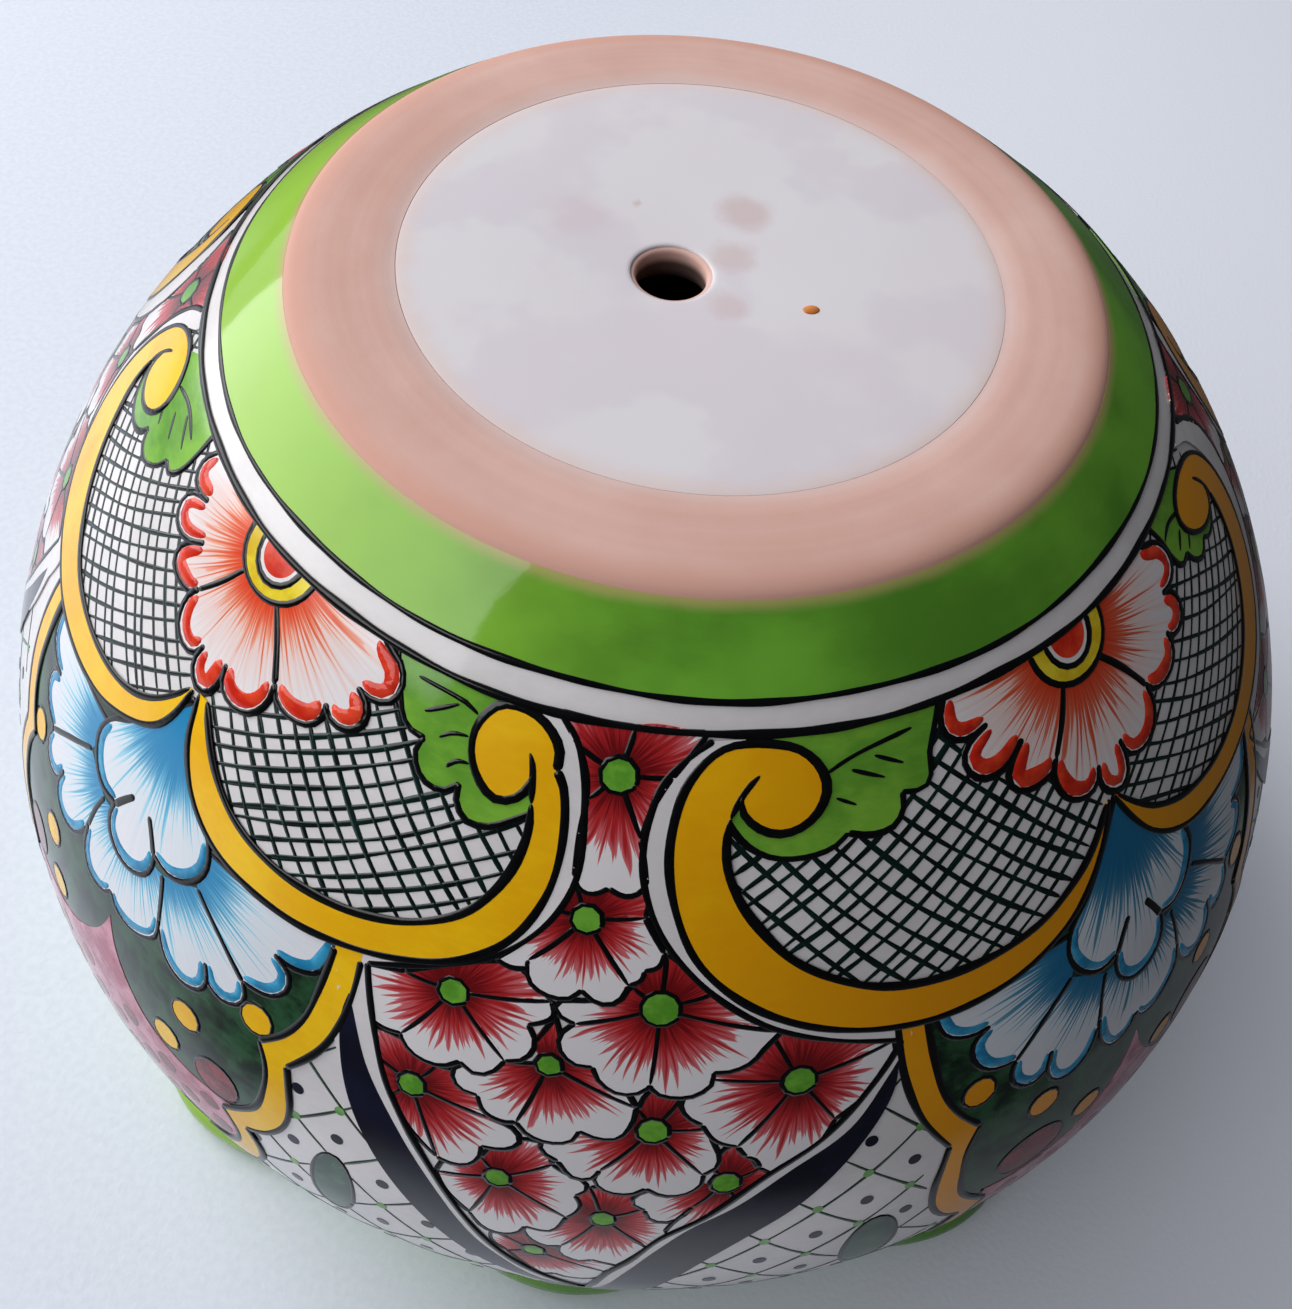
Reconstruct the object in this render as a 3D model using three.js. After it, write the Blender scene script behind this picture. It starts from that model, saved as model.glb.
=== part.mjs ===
import * as THREE from 'three';

// Round painted planter pot, modelled as it stands on its mouth, base up.
// Millimetres, +Z up. The origin is the centre of the mouth, on the plane the rim rests on.

// Heights above the rim's resting plane
const footFaceHeight = 300;
const bellyHeight = 125;
const neckHeight = 38;

// Belly: a rounded curve that swells from the neck and draws in to the foot
const bellyRadius = 210;
const footRadius = 103;
const neckRadius = 183.4;
const bellyFullness = 1.14;

// Clay
const wallThickness = 10;
const floorThickness = 10.8;
const drainRadius = 9;
const drainEdgeRound = 1.5;
const drainThroat = 6;
const drainFlare = 3.6;
const drainOffsetX = -7.6;
const drainOffsetY = -4.9;
const footRingWidth = 26;
const footShoulderWidth = 9;
const footStep = 1.2;
const footEdgeRound = 0.5;

// Glaze coats
const coatThickness = 0.7;
const coatClearance = 0.3;
const bandStart = 1.5;
const bandWidth = 17.2;

// Rim: pinched outwards in lobes, with every second lobe drawn out further as a corner
const lipFlare = 10.1;
const lobeCount = 8;
const lobeSwing = 9;
const cornerSwing = 7.5;
const lipThickness = 12;
const lipRestWidth = 5;
const lipRollHeight = 6.5;
const flareReach = 9;
const flareDraw = 2;
const lobeFadeHeight = 9;

// Facets
const turnedSteps = 48;
const rimSteps = 96;
const baseWallSteps = 9;
const mouthWallSteps = 5;
const bandSteps = 3;
const shoulderSteps = 3;
const rollSteps = 2;
const flareSteps = 5;

const slabTop = footFaceHeight - footStep;
const slabBottom = slabTop - floorThickness;
const footInnerRadius = footRadius - footRingWidth;
const clayInset = coatThickness + coatClearance;

const pot = new THREE.Group();

function finish(color, roughness) {
  return new THREE.MeshStandardMaterial({ color, roughness, metalness: 0 });
}

// Rise of the belly's curve that carries it through an end of a given radius and height
function riseThrough(endRadius, endHeight) {
  const angle = Math.acos((endRadius / bellyRadius) ** (1 / bellyFullness));
  return Math.abs(endHeight - bellyHeight) / Math.sin(angle) ** bellyFullness;
}

const baseRise = riseThrough(footRadius, slabTop);
const mouthRise = riseThrough(neckRadius, neckHeight);

// Point on the pot's outer curve at an angle up from the belly, set in along the normal
function curvePoint(angle, inset) {
  const side = Math.sign(angle);
  const rise = angle > 0 ? baseRise : mouthRise;
  const sine = Math.abs(Math.sin(angle));
  const cosine = Math.cos(angle);
  const radius = bellyRadius * cosine ** bellyFullness;
  const height = bellyHeight + side * rise * sine ** bellyFullness;
  const normal = new THREE.Vector2(
    rise * cosine,
    side * bellyRadius * cosine ** (bellyFullness - 1) * sine ** (2 - bellyFullness),
  ).normalize();
  return new THREE.Vector2(radius - inset * normal.x, height - inset * normal.y);
}

// Angle at which a rising measure of the curve reaches a target, by halving the range
function solveAngle(target, measure) {
  const halvings = 48;
  let low = -Math.PI / 2;
  let high = Math.PI / 2;
  for (let step = 0; step < halvings; step += 1) {
    const middle = (low + high) / 2;
    if (measure(middle) < target) {
      low = middle;
    } else {
      high = middle;
    }
  }
  return (low + high) / 2;
}

function angleAtHeight(height, inset) {
  return solveAngle(height, (angle) => curvePoint(angle, inset).y);
}

// Angle above the belly where the outer curve has drawn in to a radius
function angleAtRadius(radius) {
  return solveAngle(-radius, (angle) => (angle < 0 ? -bellyRadius : -curvePoint(angle, 0).x));
}

function curveStretch(startAngle, endAngle, inset, steps) {
  const points = [];
  for (let step = 0; step <= steps; step += 1) {
    points.push(curvePoint(startAngle + ((endAngle - startAngle) * step) / steps, inset));
  }
  return points;
}

// A ring turned round the pot's axis from a closed outline of radius and height
function turnedRing(outline, steps) {
  const closed = [...outline, outline[0]];
  const geometry = new THREE.LatheGeometry(closed, steps);
  geometry.rotateX(Math.PI / 2);
  return geometry;
}

function addPiece(name, geometry, material) {
  const piece = new THREE.Mesh(geometry, material);
  piece.name = name;
  pot.add(piece);
}

// A clay wall between two level joints, its outside set in under the glaze coat
function clayWall(lowHeight, highHeight, steps) {
  const [outer, inner] = [clayInset, clayInset + wallThickness].map((inset) => curveStretch(
    angleAtHeight(lowHeight, inset), angleAtHeight(highHeight, inset), inset, steps));
  return [...outer, ...inner.reverse()];
}

// A thin coat of glaze that follows the outer curve through a list of angles
function glazeCoat(angles, stepCounts) {
  const [outer, inner] = [0, coatThickness].map((inset) => stepCounts.flatMap((steps, stretch) => {
    const points = curveStretch(angles[stretch], angles[stretch + 1], inset, steps);
    return stretch > 0 ? points.slice(1) : points;
  }));
  return [...outer, ...inner.reverse()];
}

function footRingOutline() {
  const flatRadius = footRadius - footShoulderWidth;
  const shoulder = new THREE.QuadraticBezierCurve(
    new THREE.Vector2(footRadius, slabTop),
    new THREE.Vector2((footRadius + flatRadius) / 2, footFaceHeight),
    new THREE.Vector2(flatRadius, footFaceHeight),
  );
  return [
    new THREE.Vector2(footInnerRadius, slabTop),
    ...shoulder.getPoints(shoulderSteps),
    new THREE.Vector2(footInnerRadius + footEdgeRound, footFaceHeight),
    new THREE.Vector2(footInnerRadius, footFaceHeight - footEdgeRound),
  ];
}

function floorSlabOutline() {
  const lowAngle = angleAtHeight(slabBottom, clayInset);
  const highAngle = angleAtHeight(slabTop, clayInset);
  return [
    new THREE.Vector2(drainRadius + drainFlare, slabBottom),
    ...curveStretch(lowAngle, highAngle, clayInset, bandSteps),
    new THREE.Vector2(drainRadius + drainEdgeRound, slabTop),
    new THREE.Vector2(drainRadius, slabTop - drainEdgeRound),
    new THREE.Vector2(drainRadius, slabTop - drainThroat),
  ];
}

function baseGlazeOutline() {
  const innerRadius = drainRadius + drainEdgeRound;
  const outerRadius = footInnerRadius - coatClearance;
  return [
    new THREE.Vector2(innerRadius, slabTop),
    new THREE.Vector2(outerRadius, slabTop),
    new THREE.Vector2(outerRadius, slabTop + coatThickness),
    new THREE.Vector2(innerRadius, slabTop + coatThickness),
  ];
}

// Moves the edges of the drain hole to where it is cut by hand, a little off the turning axis
function drainMoved(geometry) {
  const reach = drainRadius + Math.max(drainEdgeRound, drainFlare) + coatClearance;
  const position = geometry.attributes.position;
  for (let index = 0; index < position.count; index += 1) {
    const [x, y] = [position.getX(index), position.getY(index)];
    if (Math.hypot(x, y) < reach) {
      position.setXY(index, x + drainOffsetX, y + drainOffsetY);
    }
  }
  geometry.computeVertexNormals();
  return geometry;
}

// The rim's section before its lobes are pinched: a flare from the neck to a rolled lip
function rimOutline() {
  const inset = clayInset + wallThickness;
  const neckInner = curvePoint(angleAtHeight(neckHeight, inset), inset).x;
  const lipRadius = neckRadius + lipFlare;
  const lipInner = lipRadius - lipThickness;
  const restMiddle = lipRadius - lipThickness / 2;
  const outerRoll = new THREE.QuadraticBezierCurve(
    new THREE.Vector2(restMiddle + lipRestWidth / 2, 0),
    new THREE.Vector2(lipRadius, 0),
    new THREE.Vector2(lipRadius, lipRollHeight),
  );
  const flare = new THREE.CubicBezierCurve(
    new THREE.Vector2(lipRadius, lipRollHeight),
    new THREE.Vector2(lipRadius, lipRollHeight + flareReach),
    new THREE.Vector2(neckRadius - flareDraw, neckHeight - flareReach),
    new THREE.Vector2(neckRadius, neckHeight),
  );
  const throat = new THREE.CubicBezierCurve(
    new THREE.Vector2(neckInner, neckHeight),
    new THREE.Vector2(neckInner - flareDraw, neckHeight - flareReach),
    new THREE.Vector2(lipInner, lipRollHeight + flareReach),
    new THREE.Vector2(lipInner, lipRollHeight),
  );
  const innerRoll = new THREE.QuadraticBezierCurve(
    new THREE.Vector2(lipInner, lipRollHeight),
    new THREE.Vector2(lipInner, 0),
    new THREE.Vector2(restMiddle - lipRestWidth / 2, 0),
  );
  return [
    ...outerRoll.getPoints(rollSteps),
    ...flare.getPoints(flareSteps).slice(1),
    ...throat.getPoints(flareSteps),
    ...innerRoll.getPoints(rollSteps).slice(1),
  ];
}

// How far the lip moves out from its middle circle at a bearing round the pot
function lobeShift(bearing) {
  const lobes = lobeSwing * Math.cos(lobeCount * bearing);
  const corners = cornerSwing * Math.cos((lobeCount / 2) * bearing);
  return lobes - corners;
}

function rimGeometry() {
  const geometry = turnedRing(rimOutline(), rimSteps);
  const position = geometry.attributes.position;
  const point = new THREE.Vector3();
  for (let index = 0; index < position.count; index += 1) {
    point.fromBufferAttribute(position, index);
    const fade = 1 - THREE.MathUtils.smoothstep(point.z, lobeFadeHeight, neckHeight);
    const radius = Math.hypot(point.x, point.y);
    const shift = fade * lobeShift(Math.atan2(point.y, point.x));
    const scale = (radius + shift) / radius;
    position.setXYZ(index, point.x * scale, point.y * scale, point.z);
  }
  geometry.computeVertexNormals();
  return geometry;
}

const terracotta = 0xc98a6e;
const bisque = 0xd6ab9b;
const milkGlaze = 0xdcd6de;
const whiteGlaze = 0xe8e6ec;
const leafGreen = 0x5aa832;

const bandTopAngle = angleAtRadius(footRadius + bandStart);
const bandEdgeAngle = angleAtRadius(footRadius + bandStart + bandWidth);
const coatEndAngle = coatClearance / bellyRadius;
const neckAngle = angleAtHeight(neckHeight + clayInset, 0);
const bandCoat = glazeCoat([bandEdgeAngle + coatEndAngle, bandTopAngle], [bandSteps]);
const wallCoat = glazeCoat([neckAngle, 0, bandEdgeAngle], [mouthWallSteps, baseWallSteps]);
const baseWall = clayWall(bellyHeight, slabBottom, baseWallSteps);
const mouthWall = clayWall(neckHeight, bellyHeight, mouthWallSteps);
const floorSlab = drainMoved(turnedRing(floorSlabOutline(), turnedSteps));
const baseGlaze = drainMoved(turnedRing(baseGlazeOutline(), turnedSteps));

addPiece('floor_slab', floorSlab, finish(terracotta, 0.85));
addPiece('foot_ring', turnedRing(footRingOutline(), turnedSteps), finish(bisque, 0.8));
addPiece('wall_base_half', turnedRing(baseWall, turnedSteps), finish(terracotta, 0.85));
addPiece('wall_mouth_half', turnedRing(mouthWall, turnedSteps), finish(terracotta, 0.85));
addPiece('rim_ruffle', rimGeometry(), finish(leafGreen, 0.15));
addPiece('base_glaze', baseGlaze, finish(milkGlaze, 0.2));
addPiece('foot_band_glaze', turnedRing(bandCoat, turnedSteps), finish(leafGreen, 0.12));
addPiece('wall_glaze', turnedRing(wallCoat, turnedSteps), finish(whiteGlaze, 0.12));

export default pot;
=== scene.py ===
import math
import random

import bmesh
import bpy
import numpy as np
from mathutils import Matrix, Quaternion, Vector


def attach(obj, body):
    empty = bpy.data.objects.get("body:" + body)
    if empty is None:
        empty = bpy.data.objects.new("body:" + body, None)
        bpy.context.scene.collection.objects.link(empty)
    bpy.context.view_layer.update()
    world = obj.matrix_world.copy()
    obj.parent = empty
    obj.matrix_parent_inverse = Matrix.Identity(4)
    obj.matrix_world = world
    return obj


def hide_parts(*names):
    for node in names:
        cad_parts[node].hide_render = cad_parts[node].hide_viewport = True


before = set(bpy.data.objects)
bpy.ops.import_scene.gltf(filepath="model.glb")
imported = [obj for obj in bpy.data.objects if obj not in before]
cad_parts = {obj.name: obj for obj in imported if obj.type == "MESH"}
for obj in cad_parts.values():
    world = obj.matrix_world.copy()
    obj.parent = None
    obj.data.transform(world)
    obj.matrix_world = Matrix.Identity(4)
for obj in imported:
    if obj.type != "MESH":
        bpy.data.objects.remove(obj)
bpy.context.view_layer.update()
scene = bpy.context.scene
scene.view_settings.view_transform = "Standard"

# The pot's outer curve, in millimetres, as the CAD has it

BELLY_RADIUS = 210.0
BELLY_HEIGHT = 125.0
FULLNESS = 1.14
FOOT_RADIUS = 103.0
NECK_RADIUS = 183.4
NECK_HEIGHT = 38.0
FOOT_FACE = 300.0
SLAB_TOP = 298.8
SLAB_BOTTOM = 288.0
BAND_TOP_RADIUS = 104.5
GREEN_EDGE_RADIUS = 121.7
DRAIN_RADIUS = 9.0
DRAIN_MOVE = Vector((-0.0076, -0.0049, 0.0))
BARE_RING_WIDTH = 26.0
WALL_THICKNESS = 10.0

# How far in from that curve the clay and the coats lie
CLAY_INSET = 1.0
COAT_BACK_INSET = 0.98
GROUND_INSET = 0.72
BAND_INSET = 0.45
BASE_GLAZE_THICKNESS = 0.7

TURNED_STEPS = 240
RIM_STEPS = 384


def rise_through(end_radius, end_height):
    """Rise of the belly's curve that carries it through one of its ends."""
    angle = math.acos((end_radius / BELLY_RADIUS) ** (1 / FULLNESS))
    return abs(end_height - BELLY_HEIGHT) / math.sin(angle) ** FULLNESS


BASE_RISE = rise_through(FOOT_RADIUS, SLAB_TOP)
MOUTH_RISE = rise_through(NECK_RADIUS, NECK_HEIGHT)


def on_curve(angle, inset=0.0):
    """Radius and height on the outer curve, at an angle up from the belly, set in along its normal."""
    side = np.sign(angle)
    rise = np.where(angle > 0, BASE_RISE, MOUTH_RISE)
    sine, cosine = np.abs(np.sin(angle)), np.cos(angle)
    normal_out = rise * cosine
    normal_up = side * BELLY_RADIUS * cosine ** (FULLNESS - 1) * sine ** (2 - FULLNESS)
    length = np.hypot(normal_out, normal_up)
    radius = BELLY_RADIUS * cosine**FULLNESS - inset * normal_out / length
    height = BELLY_HEIGHT + side * rise * sine**FULLNESS - inset * normal_up / length
    return radius, height


# Arc measured down the curve from the edge of the green band, against the curve's angle
ANGLES = np.linspace(1.3, -0.75, 6001)
RADII, HEIGHTS = on_curve(ANGLES)
STEPS = np.hypot(np.diff(RADII), np.diff(HEIGHTS))
ARCS = np.concatenate([[0.0], np.cumsum(STEPS)])
ARCS -= np.interp(GREEN_EDGE_RADIUS, RADII[ANGLES > 0], ARCS[ANGLES > 0])
BAND_TOP = float(np.interp(BAND_TOP_RADIUS, RADII[ANGLES > 0], ANGLES[ANGLES > 0]))


def angle_at_arc(arc):
    return np.interp(arc, ARCS, ANGLES)


def angle_at_height(height, inset=0.0):
    return float(np.interp(-height, -on_curve(ANGLES, inset)[1], ANGLES))


def degree_width(arc):
    """Millimetres that one degree round the pot spans at an arc."""
    return np.radians(np.interp(arc, ARCS, RADII))


def local_scale(arcs):
    """Millimetres per degree and per millimetre of arc, for each of many arcs."""
    return np.stack([degree_width(arcs), np.ones(len(arcs))], 1)


# Traced arcs below the belly's line of sight come out a little high, by these amounts
ARC_CORRECTION = (100, 130, 142, 165, 180, 235), (0, 1.2, 1.5, 2.2, 2.0, 0)


def wrap(flat):
    """Lays points of bearing, arc and height above the ground glaze on the pot, in metres."""
    bearing = np.radians(flat[:, 0])
    arc = flat[:, 1] + np.interp(flat[:, 1], *ARC_CORRECTION)
    radius, height = on_curve(angle_at_arc(arc), GROUND_INSET - flat[:, 2])
    return np.stack([radius * np.sin(bearing), -radius * np.cos(bearing), height], 1) / 1000


# Node building

def linear(code):
    """Linear colour of a written screen colour."""
    parts = [int(code[i : i + 2], 16) / 255 for i in (1, 3, 5)]
    return [c / 12.92 if c <= 0.04045 else ((c + 0.055) / 1.055) ** 2.4 for c in parts] + [1.0]


class Recipe:
    """Adds nodes to a tree, with inputs given as values, colours or other nodes' outputs."""

    def __init__(self, tree):
        self.tree = tree

    def add(self, kind, inputs=None, **settings):
        node = self.tree.nodes.new("ShaderNode" + kind)
        for name, value in settings.items():
            setattr(node, name, value)
        for name, value in (inputs or {}).items():
            self.feed(node.inputs[name], value)
        return node

    def feed(self, socket, value):
        if isinstance(value, bpy.types.NodeSocket):
            self.tree.links.new(value, socket)
        elif isinstance(value, str):
            socket.default_value = linear(value)
        else:
            socket.default_value = value

    def coat(self, colour, normal):
        """Feeds the material's own shader."""
        shader = self.tree.nodes["Principled BSDF"].inputs
        self.feed(shader["Base Color"], colour)
        self.feed(shader["Normal"], normal)

    def effect(self, group, inputs):
        """Outputs of a shader group, placed with its own values."""
        return self.add("Group", inputs, node_tree=group).outputs

    def math(self, operation, first, second=0.0):
        return self.add("Math", {0: first, 1: second}, operation=operation).outputs[0]

    def times(self, first, second):
        return self.math("MULTIPLY", first, second)

    def mix(self, factor, first, second):
        return self.add("Mix", {0: factor, 6: first, 7: second}, data_type="RGBA").outputs[2]

    def noise(self, vector, scale, detail=2.0, roughness=0.5):
        inputs = {"Vector": vector, "Scale": scale, "Detail": detail, "Roughness": roughness}
        return self.add("TexNoise", inputs).outputs["Fac"]

    def ramp(self, value, low, high, start=0.0, end=1.0):
        inputs = {"Value": value, "From Min": low, "From Max": high, "To Min": start, "To Max": end}
        return self.add("MapRange", inputs, interpolation_type="SMOOTHSTEP").outputs[0]

    def bump(self, height, strength, distance):
        inputs = {"Height": height, "Strength": strength, "Distance": distance}
        return self.add("Bump", inputs).outputs[0]

    def on_piece(self):
        return self.add("TexCoord").outputs["Object"]

    def stretched(self, vector, scale):
        return self.add("Mapping", {"Vector": vector, "Scale": scale}).outputs[0]

    def parted(self, vector):
        return self.add("SeparateXYZ", {"Vector": vector}).outputs

    def joined(self, x, y, z):
        return self.add("CombineXYZ", {"X": x, "Y": y, "Z": z}).outputs[0]

    def length(self, vector):
        return self.add("VectorMath", {0: vector}, operation="LENGTH").outputs["Value"]

    def from_axis(self, where):
        return self.length(self.stretched(where, (1.0, 1.0, 0.0)))


def group(name, inputs, outputs):
    """An empty shader group with its sockets, and the recipe that fills it."""
    tree = bpy.data.node_groups.new(name, "ShaderNodeTree")
    for label, kind, default in inputs:
        socket = tree.interface.new_socket(label, in_out="INPUT", socket_type="NodeSocket" + kind)
        if default is not None:
            socket.default_value = default
    for label, kind in outputs:
        tree.interface.new_socket(label, in_out="OUTPUT", socket_type="NodeSocket" + kind)
    start = tree.nodes.new("NodeGroupInput").outputs
    end = tree.nodes.new("NodeGroupOutput").inputs
    return tree, Recipe(tree), start, end


def build_glaze_group():
    """Pooling glaze: a mask of thin and thick places, and the gentle waves of a hand-dipped surface."""
    inputs = [("Vector", "Vector", None), ("Patch Size", "Float", 0.02), ("Wave", "Float", 0.3)]
    tree, r, start, end = group("glaze pooling", inputs, [("Mask", "Float"), ("Normal", "Vector")])
    broad = r.noise(start["Vector"], r.math("DIVIDE", 1.0, start["Patch Size"]), 3.0, 0.55)
    swell = r.noise(start["Vector"], 34.0, 1.5, 0.5)
    pits = r.noise(start["Vector"], 420.0, 2.0, 0.6)
    height = r.math("ADD", swell, r.times(pits, 0.03))
    r.feed(end["Mask"], r.ramp(broad, 0.32, 0.68))
    r.feed(end["Normal"], r.bump(height, start["Wave"], 0.0012))
    return tree


def pointed_streaks(r, angle, distance, shift, hairs, strength):
    """Heights of pointed streaks, uneven in length, side by side round the middle of a flower."""
    turn = r.math("ADD", r.times(angle, hairs), shift)
    sway = r.noise(r.joined(r.times(turn, 0.6), shift, r.times(distance, 1.5)), 1.0, 1.0)
    turn = r.math("ADD", turn, r.times(sway, 2.2))
    across = r.math("SUBTRACT", r.times(r.math("FRACT", turn), 2.0), 1.0)
    peak = r.math("SUBTRACT", 1.0, r.math("ABSOLUTE", across))
    number = r.math("ADD", r.math("FLOOR", turn), shift)
    chance = r.add("TexWhiteNoise", {"W": number}, noise_dimensions="1D").outputs["Value"]
    length = r.math("ADD", 0.3, r.times(chance, 0.7))
    return r.times(r.times(r.math("POWER", peak, 1.25), length), strength)


def build_brush_group():
    """Brush hairs: pointed streaks drawn out along a petal from the middle of its flower."""
    inputs = [("Place", "Vector", None), ("Seed", "Float", 0.0), ("Hairs", "Float", 9.0),
              ("Reach", "Float", 0.6), ("Ragged", "Float", 0.3)]
    outputs = [("Paint", "Float"), ("Depth", "Float"), ("Hair", "Float"), ("Distance", "Float")]
    tree, r, start, end = group("brush hairs", inputs, outputs)
    x, y, _ = r.parted(start["Place"])
    angle = r.math("ARCTAN2", x, y)
    distance = r.length(start["Place"])
    shift = r.times(start["Seed"], 53.0)
    broad = pointed_streaks(r, angle, distance, shift, start["Hairs"], 1.0)
    fine = pointed_streaks(r, angle, distance, shift, r.times(start["Hairs"], 2.3), 0.55)
    tall = r.math("SUBTRACT", r.math("MAXIMUM", broad, fine), 0.35)
    edge = r.math("ADD", start["Reach"], r.times(tall, start["Ragged"]))
    depth = r.math("SUBTRACT", edge, distance)
    hair_place = r.joined(r.times(angle, r.times(start["Hairs"], 3.0)), r.times(distance, 1.6), shift)
    r.feed(end["Paint"], r.ramp(depth, -0.012, 0.03))
    r.feed(end["Depth"], depth)
    r.feed(end["Hair"], r.noise(hair_place, 1.0, 2.0, 0.6))
    r.feed(end["Distance"], distance)
    return tree


def build_clay_group():
    """Fired clay: a soft mottle, fine grain, and rings left by the wheel and the wiping sponge."""
    inputs = [("Vector", "Vector", None), ("Grain", "Float", 0.35)]
    outputs = [("Mottle", "Float"), ("Rings", "Float"), ("Normal", "Vector")]
    tree, r, start, end = group("fired clay", inputs, outputs)
    x, y, z = r.parted(start["Vector"])
    level = r.math("ADD", r.from_axis(start["Vector"]), r.times(z, 0.6))
    rings = r.noise(r.joined(r.times(level, 160.0), r.times(x, 3.0), r.times(y, 3.0)), 1.0, 3.0, 0.55)
    grain = r.noise(start["Vector"], 900.0, 3.0, 0.7)
    height = r.math("ADD", r.times(rings, 0.6), r.times(grain, 0.4))
    r.feed(end["Mottle"], r.ramp(r.noise(start["Vector"], 22.0, 4.0, 0.6), 0.3, 0.7))
    r.feed(end["Rings"], r.ramp(rings, 0.3, 0.7))
    r.feed(end["Normal"], r.bump(height, start["Grain"], 0.0004))
    return tree


GLAZE = build_glaze_group()
BRUSH = build_brush_group()
CLAY = build_clay_group()


# Finishes

def new_material(name, preview, roughness):
    """A material with a steady roughness on its shader, its recipe, and the place on the piece."""
    material = bpy.data.materials.new(name)
    material.use_nodes = True
    material.diffuse_color = linear(preview)
    material.node_tree.nodes["Principled BSDF"].inputs["Roughness"].default_value = roughness
    r = Recipe(material.node_tree)
    return material, r, r.on_piece()


def pooled(r, where, thin, thick, patch, wave=0.25, most=1.0, grain=0.25):
    """A glaze's colour between its thin and thick places, and the normal of its waves."""
    pool = r.effect(GLAZE, {"Vector": where, "Patch Size": patch, "Wave": wave})
    strokes = r.noise(r.stretched(where, (1.0, 1.0, 3.0)), 160.0, 3.0, 0.65)
    blend = r.math("ADD", r.times(pool["Mask"], 1.0 - grain), r.times(r.ramp(strokes, 0.35, 0.65), grain))
    return r.mix(r.ramp(blend, 0.0, 1.0, 0.0, most), thin, thick), pool["Normal"]


def glossy_glaze(name, thin, thick, patch, roughness=0.1, most=1.0, dark_tone_and_shade=None):
    """A glossy glaze, with painted shade towards the pot's +x side where a shade colour is given."""
    material, r, where = new_material(name, thick, roughness)
    colour, normal = pooled(r, where, thin, thick, patch, most=most)
    if dark_tone_and_shade:
        # painted shade: the colour darkens to the shade colour towards the pot's +x side
        colour = r.mix(r.ramp(r.parted(where)[0], -0.06, 0.10, 0.0, 0.85), colour, dark_tone_and_shade)
    r.coat(colour, normal)
    return material


def petal_glaze(name, heart, paint, bloom, tip, hairs, reach, ragged, heart_reach, wash=0.0, dark_tone_and_shade=None):
    """Petals painted from the middle outwards: a dark heart, pointed streaks, then the white ground.
    Painted shade is laid on towards the pot's +x side, where a shade colour is given."""
    material, r, where = new_material(name, paint, 0.11)
    place = r.add("UVMap", {}, uv_map="petal").outputs[0]
    seed = r.add("Attribute", {}, attribute_name="seed").outputs["Fac"]
    brush = r.effect(BRUSH, {"Place": place, "Seed": seed, "Hairs": hairs, "Reach": reach,
                             "Ragged": ragged})
    fine = r.math("SUBTRACT", brush["Hair"], 0.5)
    depth = r.math("ADD", brush["Depth"], r.times(fine, 0.35))
    body = r.mix(r.ramp(depth, 0.0, 0.26), bloom, paint)
    outward = r.math("ADD", brush["Distance"], r.times(fine, 0.5))
    body = r.mix(r.ramp(outward, heart_reach - 0.12, heart_reach + 0.12), heart, body)
    if dark_tone_and_shade:
        # painted shade: petals darken to the shade colour towards the pot's +x side
        body = r.mix(r.ramp(r.parted(where)[0], 0.0, 0.13, 0.0, 0.65), body, dark_tone_and_shade)
    ground = r.mix(r.ramp(brush["Depth"], -0.4, 0.0, 0.0, wash), tip, bloom) if wash else tip
    pool = r.effect(GLAZE, {"Vector": where, "Patch Size": 0.012, "Wave": 0.25})
    r.coat(r.mix(brush["Paint"], ground, body), pool["Normal"])
    return material


def band_green():
    """The band's green, with painted light making it more lime at its left side, thinning to olive where it
    runs out on the clay.
    """
    thin, thick = "#76B93A", "#568F2A"
    material, r, where = new_material("green band glaze", thick, 0.07)
    colour, normal = pooled(r, where, thin, thick, 0.06, wave=0.3, grain=0.08)
    x, _, z = r.parted(where)
    # painted light: the green turns lime towards the pot's left (-x) side
    colour = r.mix(r.ramp(x, -0.11, 0.02, 0.8, 0.0), colour, "#9FCB3D")
    radius = r.math("ADD", r.from_axis(where), r.times(r.noise(where, 70.0, 3.0, 0.6), 0.0012))
    above_rim = r.math("GREATER_THAN", z, 0.2)
    run_out = r.times(r.ramp(radius, 0.1048, 0.1078, 1.0, 0.0), above_rim)
    r.coat(r.mix(run_out, colour, "#B3AC68"), normal)
    return material


def fired(r, where, pale, dark_tone_and_shade, grain):
    """Clay's mottled colour, and the normal of its grain and rings."""
    clay = r.effect(CLAY, {"Vector": where, "Grain": grain})
    blend = r.math("ADD", r.times(clay["Mottle"], 0.6), r.times(clay["Rings"], 0.4))
    return r.mix(blend, pale, dark_tone_and_shade), clay["Normal"]


def terracotta():
    material, r, where = new_material("terracotta", "#A9684B", 0.8)
    r.coat(*fired(r, where, "#C98A6E", "#A9684B", 0.6))
    return material


def ragged_radius(r, where, scale, spread):
    """Distance from the pot's axis, made uneven so that an edge set by it wanders."""
    wander = r.math("SUBTRACT", r.noise(where, scale, 3.0, 0.6), 0.5)
    return r.math("ADD", r.from_axis(where), r.times(wander, spread))


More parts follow.
